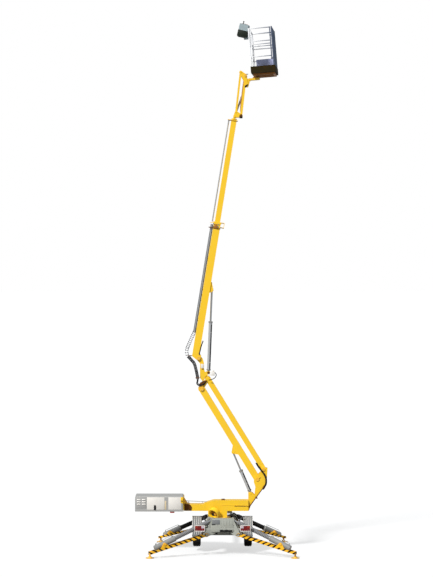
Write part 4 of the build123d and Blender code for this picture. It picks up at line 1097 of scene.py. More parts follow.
# ---- outriggers -----------------------------------------------------------------------------
@dataclass
class Outrigger(SubAssembly):
    """One outrigger: its striped bars, the gaiter on its ram, and its small fittings."""

    name: str
    folds: int = 22
    barrel_front: float = 0.326
    barrel_tail: float = 0.262
    barrel_radius: float = 0.07
    gaiter_end: float = 0.16
    gaiter_lining: float = 0.0465
    gaiter_valley: float = 0.0475
    gaiter_ridge: float = 0.0575
    gaiter_keep: float = 0.4
    stripe_pitch: float = 0.135
    bar_middle: float = 0.086
    bar_half_depth: float = 0.029

    def build(self) -> None:
        """Builds the fittings and paints the bars."""
        joint = f"leg_{self.name}_fold"
        axis = self.machine.axis(joint)
        self.hinge = self.machine.pin(joint)
        self.heading = Vector((-axis.y, axis.x, 0))
        self.axis = axis
        self.trunnion = self.machine.pin(f"ram_{self.name}_swing")
        self.ram_way = self.machine.axis(f"ram_{self.name}_stroke")
        self.ram_seat = Seat(self.trunnion, axis, self.ram_way)
        self.ram_length = self.extent(f"ram_rod_{self.name}", self.ram_seat)[1].z - 0.038
        self.paint_bars()
        self.build_gaiter()
        self.build_barrel_fittings()
        self.build_leg_fittings()

    def paint_bars(self) -> None:
        """Gives the leg its warning bands along the bars, and plain paint on its brackets."""
        foot = self.extent(f"foot_{self.name}", self.leg_seat())
        reach = (foot[0].x + foot[1].x) / 2
        slope = Vector((self.heading.x * reach, self.heading.y * reach, 0.13 - self.hinge.z)).normalized()
        normal = slope.cross(self.axis).normalized()
        paint = BarPaint(
            f"warning_bands_{self.name}",
            (1.0, 0.52, 0.02),
            dust=0.08,
            coat=0.0,
            chips=0.1,
            shine=0.15,
            direction=tuple((slope + normal * 0.9) / self.stripe_pitch),
            normal=tuple(normal),
            level=normal.dot(self.hinge),
            half_depth=self.bar_half_depth,
        )
        self.shop.wardrobe.dress(self.machine.nodes[f"leg_{self.name}"], paint)

    def leg_seat(self) -> Seat:
        """The seat at the hinge, with x outwards."""
        return Seat(self.hinge, self.heading, Vector((0, 0, 1)))

    def build_gaiter(self) -> None:
        """The ringed gaiter over the ram's neck and rod, and the clip at its end on the barrel."""
        start, end = self.barrel_front + 0.004, self.ram_length - self.gaiter_end
        pitch = (end - start - 0.04) / self.folds
        outside, inside = [], []
        for i in range(self.folds):
            z = start + 0.02 + i * pitch
            valley, ridge = self.gaiter_valley, self.gaiter_ridge
            outside += [
                (r, z + part * pitch) for r,
                part in ((valley, 0.1), (ridge, 0.4), (ridge, 0.6), (valley, 0.9))
            ]
            inside += [(self.gaiter_lining, z + part * pitch) for part in (0.1, 0.9)]
        section = [(0.0495, start)] + outside + [
            (0.0495, end), (0.046, end)
        ] + inside[::-1] + [(0.046, start)]
        gaiter = Bench.spun(self.ram_seat, section, 28)
        # The front gaiters get the gaiter finish in painted shade, the rear ones the lit gray.
        shade = Shade.BELLOWS if self.name.startswith("rear") else Shade.SHADED_BELLOWS
        body = f"ram_barrel_{self.name}"
        self.give(gaiter, f"ram_gaiter_{self.name}", body, shade)
        anchor = self.ram_seat.at(z=start)
        tuple(self.ram_way)
        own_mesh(gaiter)
        clip = Bench.spun(self.ram_seat, ring_section(0.0485, 0.0525, start + 0.002, start + 0.014), 32)
        screw = Bench.block(
            self.ram_seat.turned("Z", 70), (0.054, 0, start + 0.008), (0.012, 0.03, 0.012), 0.003
        )
        self.give((clip, screw), f"gaiter_clip_{self.name}", body, Shade.ZINC)

    def build_barrel_fittings(self) -> None:
        """Two rings round the barrel, and a short steel pipe on two unions."""
        body = f"ram_barrel_{self.name}"
        seat, tail = self.ram_seat, -self.barrel_tail
        inner, outer = self.barrel_radius - 0.002, self.barrel_radius + 0.003
        places = (tail + 0.022, self.barrel_front - 0.034)
        pieces = [Bench.spun(seat, ring_section(inner, outer, z, z + 0.012, 0.002), 36) for z in places]
        self.give(pieces, f"barrel_rings_{self.name}", body, Shade.LEG_RAM)
        top = seat.turned("Z", 90)
        rear, front = tail + 0.07, self.barrel_front - 0.06
        unions = [
            Bench.bolt(top.moved(self.barrel_radius, 0, z).turned("Y", 90), 0.024, 0.02)
            for z in (rear, front)
        ]
        rise, bend = self.barrel_radius + 0.026, 0.006
        low, high = rise - bend, rise + bend
        runs = (
            (low, rear), (high, rear), (high, rear + 0.03), (high, front - 0.03), (high, front),
            (low, front)
        )
        pipe = Bench.hose([top.at(x, 0, z) for x, z in runs], 0.006)
        self.give([*unions, pipe], f"barrel_pipe_{self.name}", body, Shade.ZINC)

    def build_leg_fittings(self) -> None:
        """The trunnion's caps and bolts on the bars, and the foot's split pin."""
        seat, body = self.leg_seat(), f"leg_{self.name}"
        caps = []
        for sign in (-1, 1):
            out = self.axis * sign
            cap_seat = Seat(self.trunnion + out * (self.bar_middle + 0.009), self.heading, out)
            caps.append(Bench.spun(cap_seat, disc_section(0.034, 0.0, 0.016, 0.004), 28))
            caps += [
                Bench.bolt(cap_seat.turned("Z", 60 + 120 * i).moved(0.0245, 0, 0.0155), 0.01, 0.006)
                for i in range(3)
            ]
        self.give(caps, f"trunnion_caps_{self.name}", body, Shade.FOOT)
        foot = self.extent(f"foot_{self.name}", seat)
        middle = (foot[0].x + foot[1].x) / 2
        pin = Bench.rod(
            seat.at(middle - 0.05, 0, 0.1 - self.hinge.z), seat.at(middle + 0.05, 0, 0.1 - self.hinge.z),
            0.006, 12
        )
        self.give(pin, f"foot_pin_{self.name}", body, Shade.ZINC)


@dataclass(frozen=True)
class BarPaint(StripedPaint):
    """Warning bands on a leg's bars only: the paint off the bars' own strip is plain."""

    normal: tuple[float, float, float] = (0.0, 0.0, 1.0)
    level: float = 0.0
    half_depth: float = 0.035

    def tint(self, board: Board) -> NodeSocket:
        """Bands within the bars' depth, and plain paint beyond it.

        Args:
            board: the board of the material.

        Returns:
            The socket that holds the colour.
        """
        off = board.sum("ABSOLUTE", board.sum("SUBTRACT", board.along(self.normal), self.level), 0.0)
        beyond = board.span(off, self.half_depth, self.half_depth + 0.0005)
        return board.mix(beyond, super().tint(board), self.base)


# ---- chassis --------------------------------------------------------------------------------
@dataclass
class TailLamp(SubAssembly):
    """One tail lamp's frame, its coloured cells and its screws."""

    side: str
    sign: int
    width: float = 0.26
    rim: float = 0.013
    proud: float = 0.007
    cell_width: float = 0.075

    def build(self) -> None:
        """Builds the frame round the lamp and the two clear cells at its top."""
        low, high = self.extent("tail_lamps")
        middle = self.sign * (high.x - self.width / 2)
        depth = high.z - low.z
        seat = upright(middle, low.y, (low.z + high.z) / 2)
        bars = []
        for end in (-1, 1):
            bars.append(
                ((end * (self.width - self.rim) / 2, 0.008, 0), (self.rim, 0.03, depth + 0.01), 0.003)
            )
            bars.append(
                ((0, 0.008, end * (depth - self.rim + 0.01) / 2), (self.width, 0.03, self.rim), 0.003)
            )
        self.blocks(f"lamp_frame_{self.side}", "chassis", Shade.PANEL, seat, *bars)
        cell_depth = depth * 0.42
        for word, way, shade in (("amber", 1, Shade.AMBER_LENS), ("white", -1, Shade.WHITE_LENS)):
            x = way * self.sign * (self.width / 2 - self.rim - self.cell_width / 2)
            self.blocks(
                f"lamp_{word}_cell_{self.side}", "chassis", shade, seat,
                (
                    (x, -0.001, depth / 2 - self.rim - cell_depth / 2),
                    (self.cell_width, self.proud, cell_depth), 0.002
                )
            )
        screws = [
            Bench.bolt(seat.moved(x, -0.004, -depth / 2 + 0.03).turned("X", 90), 0.009, 0.004)
            for x in (-0.07, 0.07)
        ]
        self.give(screws, f"lamp_screws_{self.side}", "chassis", Shade.ZINC)


@dataclass
class ChassisFittings(SubAssembly):
    """The rear cover, the mudguards' ribs, the valve caps and the wiring."""

    cover_rear: float = -0.965
    cover_top: float = 0.925
    cover_bottom: float = 0.588
    rib_places: tuple[float, ...] = (-0.04, 0.03, 0.1, 0.17, 0.24)
    guard_width: float = 0.234
    guard_ribs: int = 5
    guard_proud: float = 0.009
    bearing_bolts: int = 16

    def build(self) -> None:
        """Builds each of them."""
        self.build_cover()
        self.build_underside()
        self.build_guards()
        self.build_valves()
        self.build_wiring()
        self.build_bolts()

    def build_cover(self) -> None:
        """The flanged steel cover at the chassis's rear, with a dark door panel and ribs."""
        low, top, seat = self.cover_bottom, self.cover_top, upright(0, self.cover_rear, 0)
        outline = [
            (-0.36, low), (0.29, low), (0.29, top), (-0.262, top), (-0.262, 0.805), (-0.3, 0.775),
            (-0.36, 0.765)
        ]
        cover = Bench.plate(seat, outline, 0.0, 0.006, 0.002)
        flange = Bench.block(seat, (0.014, 0.08, top - 0.003), (0.55, 0.16, 0.006), 0.002)
        side = Bench.block(seat, (0.287, 0.08, (low + top) / 2), (0.006, 0.16, top - low - 0.004), 0.002)
        foot = Bench.block(seat, (-0.035, 0.06, low + 0.003), (0.65, 0.12, 0.006), 0.002)
        self.give((cover, flange, side, foot), "rear_cover", "chassis", Shade.CHASSIS)
        self.blocks(
            "cover_door", "chassis", Shade.GUARD, seat,
            ((-0.165, -0.003, 0.838), (0.19, 0.008, 0.115), 0.003)
        )
        self.blocks(
            "cover_ribs", "chassis", Shade.CHASSIS, seat,
            *[((x, -0.002, 0.83), (0.006, 0.008, 0.15), 0.002) for x in self.rib_places]
        )
        self.blocks(
            "cover_catch", "chassis", Shade.MOTOR, seat,
            ((-0.25, -0.006, 0.78), (0.05, 0.012, 0.02), 0.004),
            ((-0.205, -0.008, 0.785), (0.045, 0.014, 0.016), 0.004)
        )
        screws = [
            Bench.bolt(seat.moved(x, -0.001, z).turned("X", 90), 0.01, 0.005)
            for x in (-0.34, -0.12, 0.06, 0.27) for z in (low + 0.03, 0.755)
        ]
        self.give(screws, "cover_screws", "chassis", Shade.ZINC)

    def build_underside(self) -> None:
        """The rubber strip and the wiring socket under the rear cross beam."""
        y = self.cover_rear - 0.009
        self.blocks(
            "rear_strip", "chassis", Shade.RUBBER, ORIGIN, ((0.085, y, 0.618), (0.31, 0.02, 0.04), 0.005),
            ((0.178, y, 0.57), (0.016, 0.016, 0.075), 0.004)
        )
        self.blocks(
            "wiring_socket", "chassis", Shade.BLACK, ORIGIN,
            ((-0.2, -0.8, 0.55), (0.15, 0.1, 0.066), 0.014),
            ((-0.2, -0.853, 0.555), (0.08, 0.012, 0.045), 0.005)
        )

    def build_guards(self) -> None:
        """Upright ribs on the mudguards' ends, their rubber flaps and the brackets of their stays."""
        low, high = self.extent("mudguards")
        radius = (high.y - low.y) / 2
        axle_z = high.z - radius
        for side, sign in SIDES:
            inner, outer = high.x - self.guard_width, high.x
            turns = [math.radians(176 - 9.5 * step) for step in range(9)]
            reach = radius + self.guard_proud
            arc = [(math.cos(a) * reach, math.sin(a) * reach) for a in turns]
            inside = [(0.985 * p, 0.985 * q) for p, q in reversed(arc)]
            ribs = []
            for i in range(self.guard_ribs):
                x = sign * (inner + 0.012 + (outer - inner - 0.024) * i / (self.guard_ribs - 1))
                seat = Seat(Vector((x, 0, axle_z)), Vector((0, 1, 0)), Vector((0, 0, 1)))
                ribs.append(Bench.plate(seat, arc + inside, -0.005, 0.005))
            self.give(ribs, f"guard_ribs_{side}", "chassis", Shade.PANEL)
            self.blocks(
                f"guard_flap_{side}", "chassis", Shade.RUBBER, ORIGIN,
                ((sign * (inner + outer) / 2, low.y + 0.012, axle_z - 0.07), (0.2, 0.008, 0.16), 0.003)
            )
            corners = ((0.055, 0.84), (0.02, 0.84), (0.15, 0.66), (0.15, 0.62), (0.055, 0.66))
            bracket = Bench.plate(
                upright(sign * 0.5, -0.09, 0), [(-sign * x, z) for x, z in corners], -0.01, 0.01
            )
            self.give(bracket, f"guard_bracket_{side}", "chassis", Shade.MOTOR)

    def build_valves(self) -> None:
        """The knobs on the valve levers and the cover plate over the valve bank."""
        low, high = self.extent("control_valves")
        self.blocks(
            "valve_cover", "chassis", Shade.CHASSIS, ORIGIN,
            (((low.x + high.x) / 2, low.y + 0.02, high.z + 0.035), (0.12, 0.05, 0.06), 0.008)
        )
        caps = [
            Bench.spun(
                upright(0.148 + 0.028 * i, 0.4, high.z - 0.002), disc_section(0.0115, 0, 0.026, 0.005), 16
            )
            for i in range(4)
        ]
        self.give(caps, "lever_knobs", "chassis", Shade.BLACK)

    def build_wiring(self) -> None:
        """The hoses from the valve bank to the front right corner, and two stays."""
        runs = [
            [(0.24, 0.36, 0.86), (0.3, 0.3, 0.9), (0.36, 0.3, 0.87), (0.41, 0.34, 0.78), (0.4, 0.42, 0.7)],
            [
                (0.24, 0.36, 0.82), (0.29, 0.28, 0.84), (0.345, 0.3, 0.82), (0.37, 0.36, 0.74),
                (0.335, 0.42, 0.68)
            ],
            [
                (0.235, 0.37, 0.78), (0.27, 0.3, 0.775), (0.3, 0.28, 0.77), (0.34, 0.3, 0.72),
                (0.34, 0.36, 0.66)
            ],
        ]
        hoses = [Bench.hose(run, 0.015) for run in runs]
        self.give(hoses, "outrigger_hoses", "chassis", Shade.RUBBER)
        for side, sign in SIDES:
            arm = Bench.rod((sign * 0.545, -0.28, 0.905), (sign * 0.352, -0.33, 0.715), 0.014, 12)
            self.give(arm, f"guard_stay_{side}", "chassis", Shade.MOTOR)

    def build_bolts(self) -> None:
        """The ring of bolts on the slew bearing."""
        high = self.extent("slew_bearing")[1]
        radius = high.x - 0.022
        turns = [math.tau * i / self.bearing_bolts for i in range(self.bearing_bolts)]
        places = [upright(radius * math.cos(a), radius * math.sin(a), high.z - 0.002) for a in turns]
        ring = [Bench.bolt(place, 0.017, 0.006) for place in places]
        self.give(ring, "bearing_bolts", "chassis", Shade.ZINC)


# ---- turret ---------------------------------------------------------------------------------
@dataclass
class TurretBeam(SubAssembly):
    """What is fastened to the turret beam: the seam, the round port, pipes and plates of painted shadow."""

    half_width: float = 0.151
    port_place: tuple[float, float, float] = (-0.205, -0.2, 0.972)
    port_way: tuple[float, float, float] = (-0.5, -0.68, -0.54)
    port_radius: float = 0.142

    def build(self) -> None:
        """Builds each of them."""
        self.build_seam()
        self.build_port()
        self.build_arm_fittings()
        self.build_pipes()

    def build_seam(self) -> None:
        """The folded seam along the beam's side, and the joint's line beneath it, drawn as painted shadow.
        """
        for side, sign in SIDES:
            y = sign * self.half_width
            lip = Bench.rod((-0.05, y, 1.163), (0.67, y, 1.152), 0.006, 10)
            self.give(lip, f"beam_seam_{side}", "turret", Shade.YELLOW)
            # The joint's line is a strip of painted shadow beneath the seam lip.
            self.blocks(
                f"beam_joint_line_{side}", "turret", Shade.PAINTED_SHADE_BROWN, ORIGIN,
                ((0.51, y, 1.139), (0.4, 0.006, 0.016), 0.002)
            )

    def build_port(self) -> None:
        """The slanting round port on the pedestal's left, its inside in painted shade."""
        along = Vector(self.port_way).normalized()
        across = Vector((0, 1, 0)).cross(along).normalized()
        seat = Seat(Vector(self.port_place), across, along)
        ring = Bench.spun(seat, ring_section(0.108, self.port_radius, -0.06, 0.05, 0.006), 40)
        self.give(ring, "drive_port", "turret", Shade.YELLOW)
        # The port's floor is drawn in the orange painted shade.
        floor = Bench.spun(seat, disc_section(0.11, -0.05, -0.015, 0.0), 32)
        self.give(floor, "drive_port_floor", "turret", Shade.PAINTED_SHADE_ORANGE)
        cap = Bench.spun(seat.moved(-0.035, 0.01, -0.03), disc_section(0.036, 0.01, 0.05, 0.01), 24)
        self.give(cap, "drive_port_cap", "turret", Shade.FOOT)

    def build_arm_fittings(self) -> None:
        """Plates of painted shadow where the beam enters the power box, and the slew motor's lead."""
        # Brown plates of painted shadow on the beam's sides, where its lower part lies in shadow by the
        # power box.
        outline = [(-0.98, 1.03), (-0.79, 1.03), (-0.775, 1.1), (-0.8, 1.16), (-0.84, 1.19), (-0.98, 1.205)]
        for side, sign in SIDES:
            low, high = sorted((sign * (self.half_width + 0.012), sign * (self.half_width - 0.001)))
            shadow_plate = Bench.plate(ORIGIN, outline, low, high, 0.003)
            self.give(shadow_plate, f"beam_sleeve_{side}", "turret", Shade.PAINTED_SHADE_BROWN)
        lead = Bench.hose(
            [(-0.28, -0.1, 0.97), (-0.32, -0.1, 1.0), (-0.36, -0.05, 1.02), (-0.4, 0, 1.035)], 0.009
        )
        self.give(lead, "slew_motor_lead", "turret", Shade.RUBBER)

    def build_pipes(self) -> None:
        """The pipe above the beam's rear arm, on two small posts, and a clamp with two bolts over the beam.
        """
        pipe = Bench.hose(
            [(-0.985, -0.02, 1.262), (-0.9, -0.02, 1.258), (-0.45, -0.02, 1.237), (-0.36, -0.02, 1.232)],
            0.008, 2
        )
        posts = [Bench.rod((x, -0.02, 1.18), (x, -0.02, 1.25), 0.006, 8) for x in (-0.86, -0.5)]
        self.give((pipe, *posts), "hydraulic_pipe", "turret", Shade.ZINC)
        # The clamp is drawn in the painted shade brown.
        clamp = Bench.block(ORIGIN, (0.02, 0, 1.292), (0.09, 0.16, 0.018), 0.005)
        bolts = [Bench.bolt(upright(0.02, y, 1.3), 0.014, 0.008) for y in (-0.05, 0.05)]
        self.give((clamp, *bolts), "pipe_clamp", "turret", Shade.PAINTED_SHADE_BROWN)


@dataclass
class PowerBox(SubAssembly):
    """The power box's lid strip, louvre blades, blank plates, lock and lamp."""

    body: str = "power_box_hood"
    blade_columns: tuple[float, float] = (0.097, 0.222)
    blade_rows: int = 3
    blade_pitch: float = 0.058
    blade_turn: float = -28.0

    def build(self) -> None:
        """Builds each of them on the hood, in the hood's own box."""
        self.low, self.high = self.extent(self.body)
        self.seat = upright(self.low.x, self.low.y, self.low.z)
        self.build_panels()
        self.build_louvres()
        self.build_end()
        self.build_lock_and_lamp()

    def panel(
        self, name: str, left: float, right: float, bottom: float, top: float, shade: Shade,
        proud: float = 0.004
    ) -> None:
        """A blank plate on the hood's rear face, by its edges from the hood's left and floor.

        Args:
            name: the plate's name.
            left: its left edge, from the hood's left.
            right: its right edge.
            bottom: its lower edge, from the hood's floor.
            top: its upper edge.
            shade: its finish.
            proud: its thickness.
        """
        size = (right - left, proud, top - bottom)
        self.blocks(
            name, self.body, shade, self.seat,
            (((left + right) / 2, -proud / 2 + 0.001, (bottom + top) / 2), size, 0.0015)
        )

    def build_panels(self) -> None:
        """Two pale plates with a gray and a sandy strip between, and the darker lid strip."""
        top = self.high.z - self.low.z
        self.panel("hood_plate_left", 0.3, 0.745, 0.006, top - 0.018, Shade.PANEL)
        self.panel("hood_strip_sandy", 0.752, 0.79, 0.006, top - 0.11, Shade.SAND)
        self.panel("hood_plate_right", 0.845, 1.165, 0.006, top - 0.018, Shade.PANEL)
        width = self.high.x - self.low.x
        self.blocks(
            "hood_lid_strip", self.body, Shade.HOOD, self.seat,
            ((width / 2, 0.03, top - 0.002), (width - 0.06, 0.012, 0.01), 0.003)
        )

    def build_louvres(self) -> None:
        """The vent panel on the hood's rear face, with two columns of three bent blades."""
        self.panel("hood_vent_panel", 0.008, 0.292, 0.04, 0.325, Shade.HOOD, 0.005)
        places = [
            (x, 0.262 - self.blade_pitch * row) for x in self.blade_columns
            for row in range(self.blade_rows)
        ]
        seats = [self.seat.moved(x, -0.009, z).turned("X", self.blade_turn) for x, z in places]
        blades = [Bench.block(seat, (0, 0, 0), (0.088, 0.004, 0.024), 0.0015) for seat in seats]
        self.give(blades, "hood_louvres", self.body, Shade.PANEL)

    def build_end(self) -> None:
        """The yellow end panel towards the beam, a yellow corner panel and a small catch in the painted
        shade brown.
        """
        x = self.high.x
        self.blocks(
            "hood_end_panel", self.body, Shade.YELLOW, upright(x, -0.02, 0),
            ((-0.012, -0.05, 1.3), (0.03, 0.56, 0.16), 0.008)
        )
        self.blocks(
            "hood_corner_panel", self.body, Shade.YELLOW, self.seat,
            ((x - self.low.x - 0.035, -0.002, 0.25), (0.06, 0.01, 0.15), 0.004)
        )
        # The catch is drawn in the painted shade brown.
        self.blocks(
            "hood_corner_catch", self.body, Shade.PAINTED_SHADE_BROWN, self.seat,
            ((x - self.low.x - 0.035, -0.009, 0.225), (0.05, 0.014, 0.02), 0.004)
        )

    def build_lock_and_lamp(self) -> None:
        """The black handle on the left plate and the small red lamp under the tray."""
        self.blocks(
            "hood_lock", self.body, Shade.BLACK, self.seat,
            ((0.505, -0.012, 0.06), (0.04, 0.024, 0.1), 0.007),
            ((0.505, -0.004, 0.06), (0.055, 0.006, 0.12), 0.003)
        )
        self.blocks(
            "box_lamp", "turret", Shade.RED_KNOB, ORIGIN,
            ((-1.27, -0.31, 1.01), (0.115, 0.05, 0.045), 0.012)
        )


# ---- arm, knuckle and boom ------------------------------------------------------------------
@dataclass
class PinCaps(SubAssembly):
    """Round end caps and bolts on both ends of the linkage's pins."""

    def build(self) -> None:
        """Fits a pair of caps to every pin of the table."""
        # Caps in the painted shade brown stand for caps on pins that sit in shade.
        table = (
            ("arm_lift", "turret", 0.103, 0.05, Shade.FOOT),
            ("link_swing", "turret", 0.103, 0.042, Shade.FOOT),
            ("lift_ram_swing", "turret", 0.05, 0.034, Shade.PAINTED_SHADE_BROWN),
            ("knuckle_level", "lower_arm", 0.082, 0.058, Shade.FOOT),
            ("boom_lift", "knuckle", 0.084, 0.05, Shade.FOOT),
            ("boom_ram_swing", "knuckle", 0.052, 0.034, Shade.PAINTED_SHADE_BROWN),
            ("jib_lift", "jib_head", 0.101, 0.036, Shade.PAINTED_SHADE_BROWN),
            ("bracket_level", "basket_bracket", 0.101, 0.034, Shade.FOOT),
        )
        for joint, body, half, radius, shade in table:
            self.pair(joint, body, half, radius, shade)

    def pair(self, joint: str, body: str, half: float, radius: float, shade: Shade) -> None:
        """A cap with three bolts at each end of one pin.

        Args:
            joint: the joint whose pin it is.
            body: the body that carries the caps.
            half: how far the carrying plate's outer face is from the middle.
            radius: the cap's radius.
            shade: the cap's finish.
        """
        caps, bolts = [], []
        for _, sign in SIDES:
            seat = Seat(
                self.machine.pin(joint) + Vector((0, sign * half, 0)), Vector((1, 0, 0)),
                Vector((0, sign, 0))
            )
            caps.append(Bench.spun(seat, disc_section(radius, -0.002, 0.01, 0.003), 32))
            for i in range(3):
                bolts.append(
                    Bench.bolt(
                        seat.turned("Z", 30 + 120 * i).moved(radius * 0.62, 0, 0.009), radius * 0.3, 0.006
                    )
                )
        self.give(caps, f"pin_caps_{joint}", body, shade)
        self.give(bolts, f"pin_bolts_{joint}", body, shade)


@dataclass
class MainRam(SubAssembly):
    """The black hard pipe with its clips, the gland and foot rings and the lock valve of one boom cylinder;
    the pipe, widened, also stands for painted shade on the barrel's right side.
    """

    name: str
    pipe_side: float = 1.0
    pipe_and_shade_radius: float = 0.0135

    def build(self) -> None:
        """Builds each of them along the barrel."""
        seat = self.machine.member(
            self.machine.pin(f"{self.name}_swing"), self.machine.rise(f"{self.name}_stroke")
        )
        body = f"{self.name}_barrel"
        low, high = self.extent(body, seat)
        radius = high.y
        gland = Bench.spun(
            seat, ring_section(radius * 0.72, radius + 0.003, high.z - 0.03, high.z + 0.003, 0.002), 36
        )
        foot = Bench.spun(
            seat, ring_section(radius * 0.9, radius + 0.004, low.z + 0.1, low.z + 0.125, 0.002), 36
        )
        self.give((gland, foot), f"{self.name}_rings", body, Shade.ZINC)
        # The black pipe on the barrel's front right is partly a real hose and partly painted shade: its
        # width also darkens the barrel's right side.
        x, y = self.pipe_side * radius * 0.55, -radius - 0.008
        bottom, top = low.z + 0.13, high.z - 0.08
        bends = ((y + 0.02, bottom), (y, bottom + 0.02), (y, top - 0.02), (y + 0.02, top))
        pipe = Bench.hose([seat.at(x, across, along) for across, along in bends], self.pipe_and_shade_radius)
        self.give(pipe, f"{self.name}_pipe", body, Shade.RUBBER)
        self.blocks(
            f"{self.name}_clips", body, Shade.ZINC, seat,
            *[((x, y + 0.004, z), (0.036, 0.034, 0.02), 0.003) for z in (low.z + 0.3, high.z - 0.28)]
        )
        self.blocks(
            f"{self.name}_lock_valve", body, Shade.ZINC, seat,
            ((0, radius + 0.006, low.z + 0.2), (0.045, 0.04, 0.09), 0.005)
        )


@dataclass
class Elbow(SubAssembly):
    """The hoses that cross the elbow at the tower's top, and their clamps."""

    hose_radius: float = 0.014
    rows: tuple[float, float] = (-0.12, -0.142)
    shift: float = -0.036
    spread: float = 0.02
    bend: Path = (
        (
            0.885, 2.235
        ), (0.919, 2.163), (1.0, 2.06), (1.085, 1.95), (1.13, 1.855), (1.14, 1.76), (1.13, 1.7),
    )
    run: Path = ((1.13, 1.7), (1.115, 1.655), (1.05, 1.56))
    edge: Path = ((1.07, 1.67), (1.04, 1.605), (0.868, 1.37), (0.698, 1.14), (0.668, 1.1))

    def build(self) -> None:
        """Builds the bent bundle, the run down the tower's edge and the clamps."""
        bent, fixed = [], []
        for i, y in enumerate(self.rows):
            step = self.shift + self.spread * i
            for hoses, path in ((bent, self.bend), (fixed, self.run)):
                hoses.append(Bench.hose([(x + step, y, z) for x, z in path], self.hose_radius))
        ends = (Vector((1.125, -0.13, 1.72)), Vector((0.94, -0.13, 2.14)))
        self.shop.hand_over_bent(
            Bench.joined(*bent), "elbow_hoses", ("turret", "lower_link"), ends, Shade.RUBBER
        )
        self.give(fixed, "tower_hoses", "turret", Shade.RUBBER)
        # A brown tube along the tower's right edge: painted shade on that edge, drawn as a pipe.
        edge = Bench.hose([(x, -0.112, z) for x, z in self.edge], 0.011)
        self.give(edge, "tower_edge_pipe", "turret", Shade.PAINTED_SHADE_BROWN)
        # The clamps and the seam line are drawn in the painted shade brown.
        across, along = Vector((0.57, 0, 0.82)), Vector((-0.82, 0, 0.57))
        seats = [Seat(Vector((x, -0.128, z)), across, along) for x, z in ((1.045, 1.6), (0.855, 1.34))]
        clamps = [Bench.block(seat, (0.012, 0, 0), (0.03, 0.07, 0.06), 0.004) for seat in seats]
        self.give(clamps, "hose_clamps", "turret", Shade.PAINTED_SHADE_BROWN)
        seam = Bench.rod((0.86, -0.1, 1.77), (0.97, -0.1, 1.86), 0.005, 8)
        self.give(seam, "tower_seam", "turret", Shade.PAINTED_SHADE_BROWN)


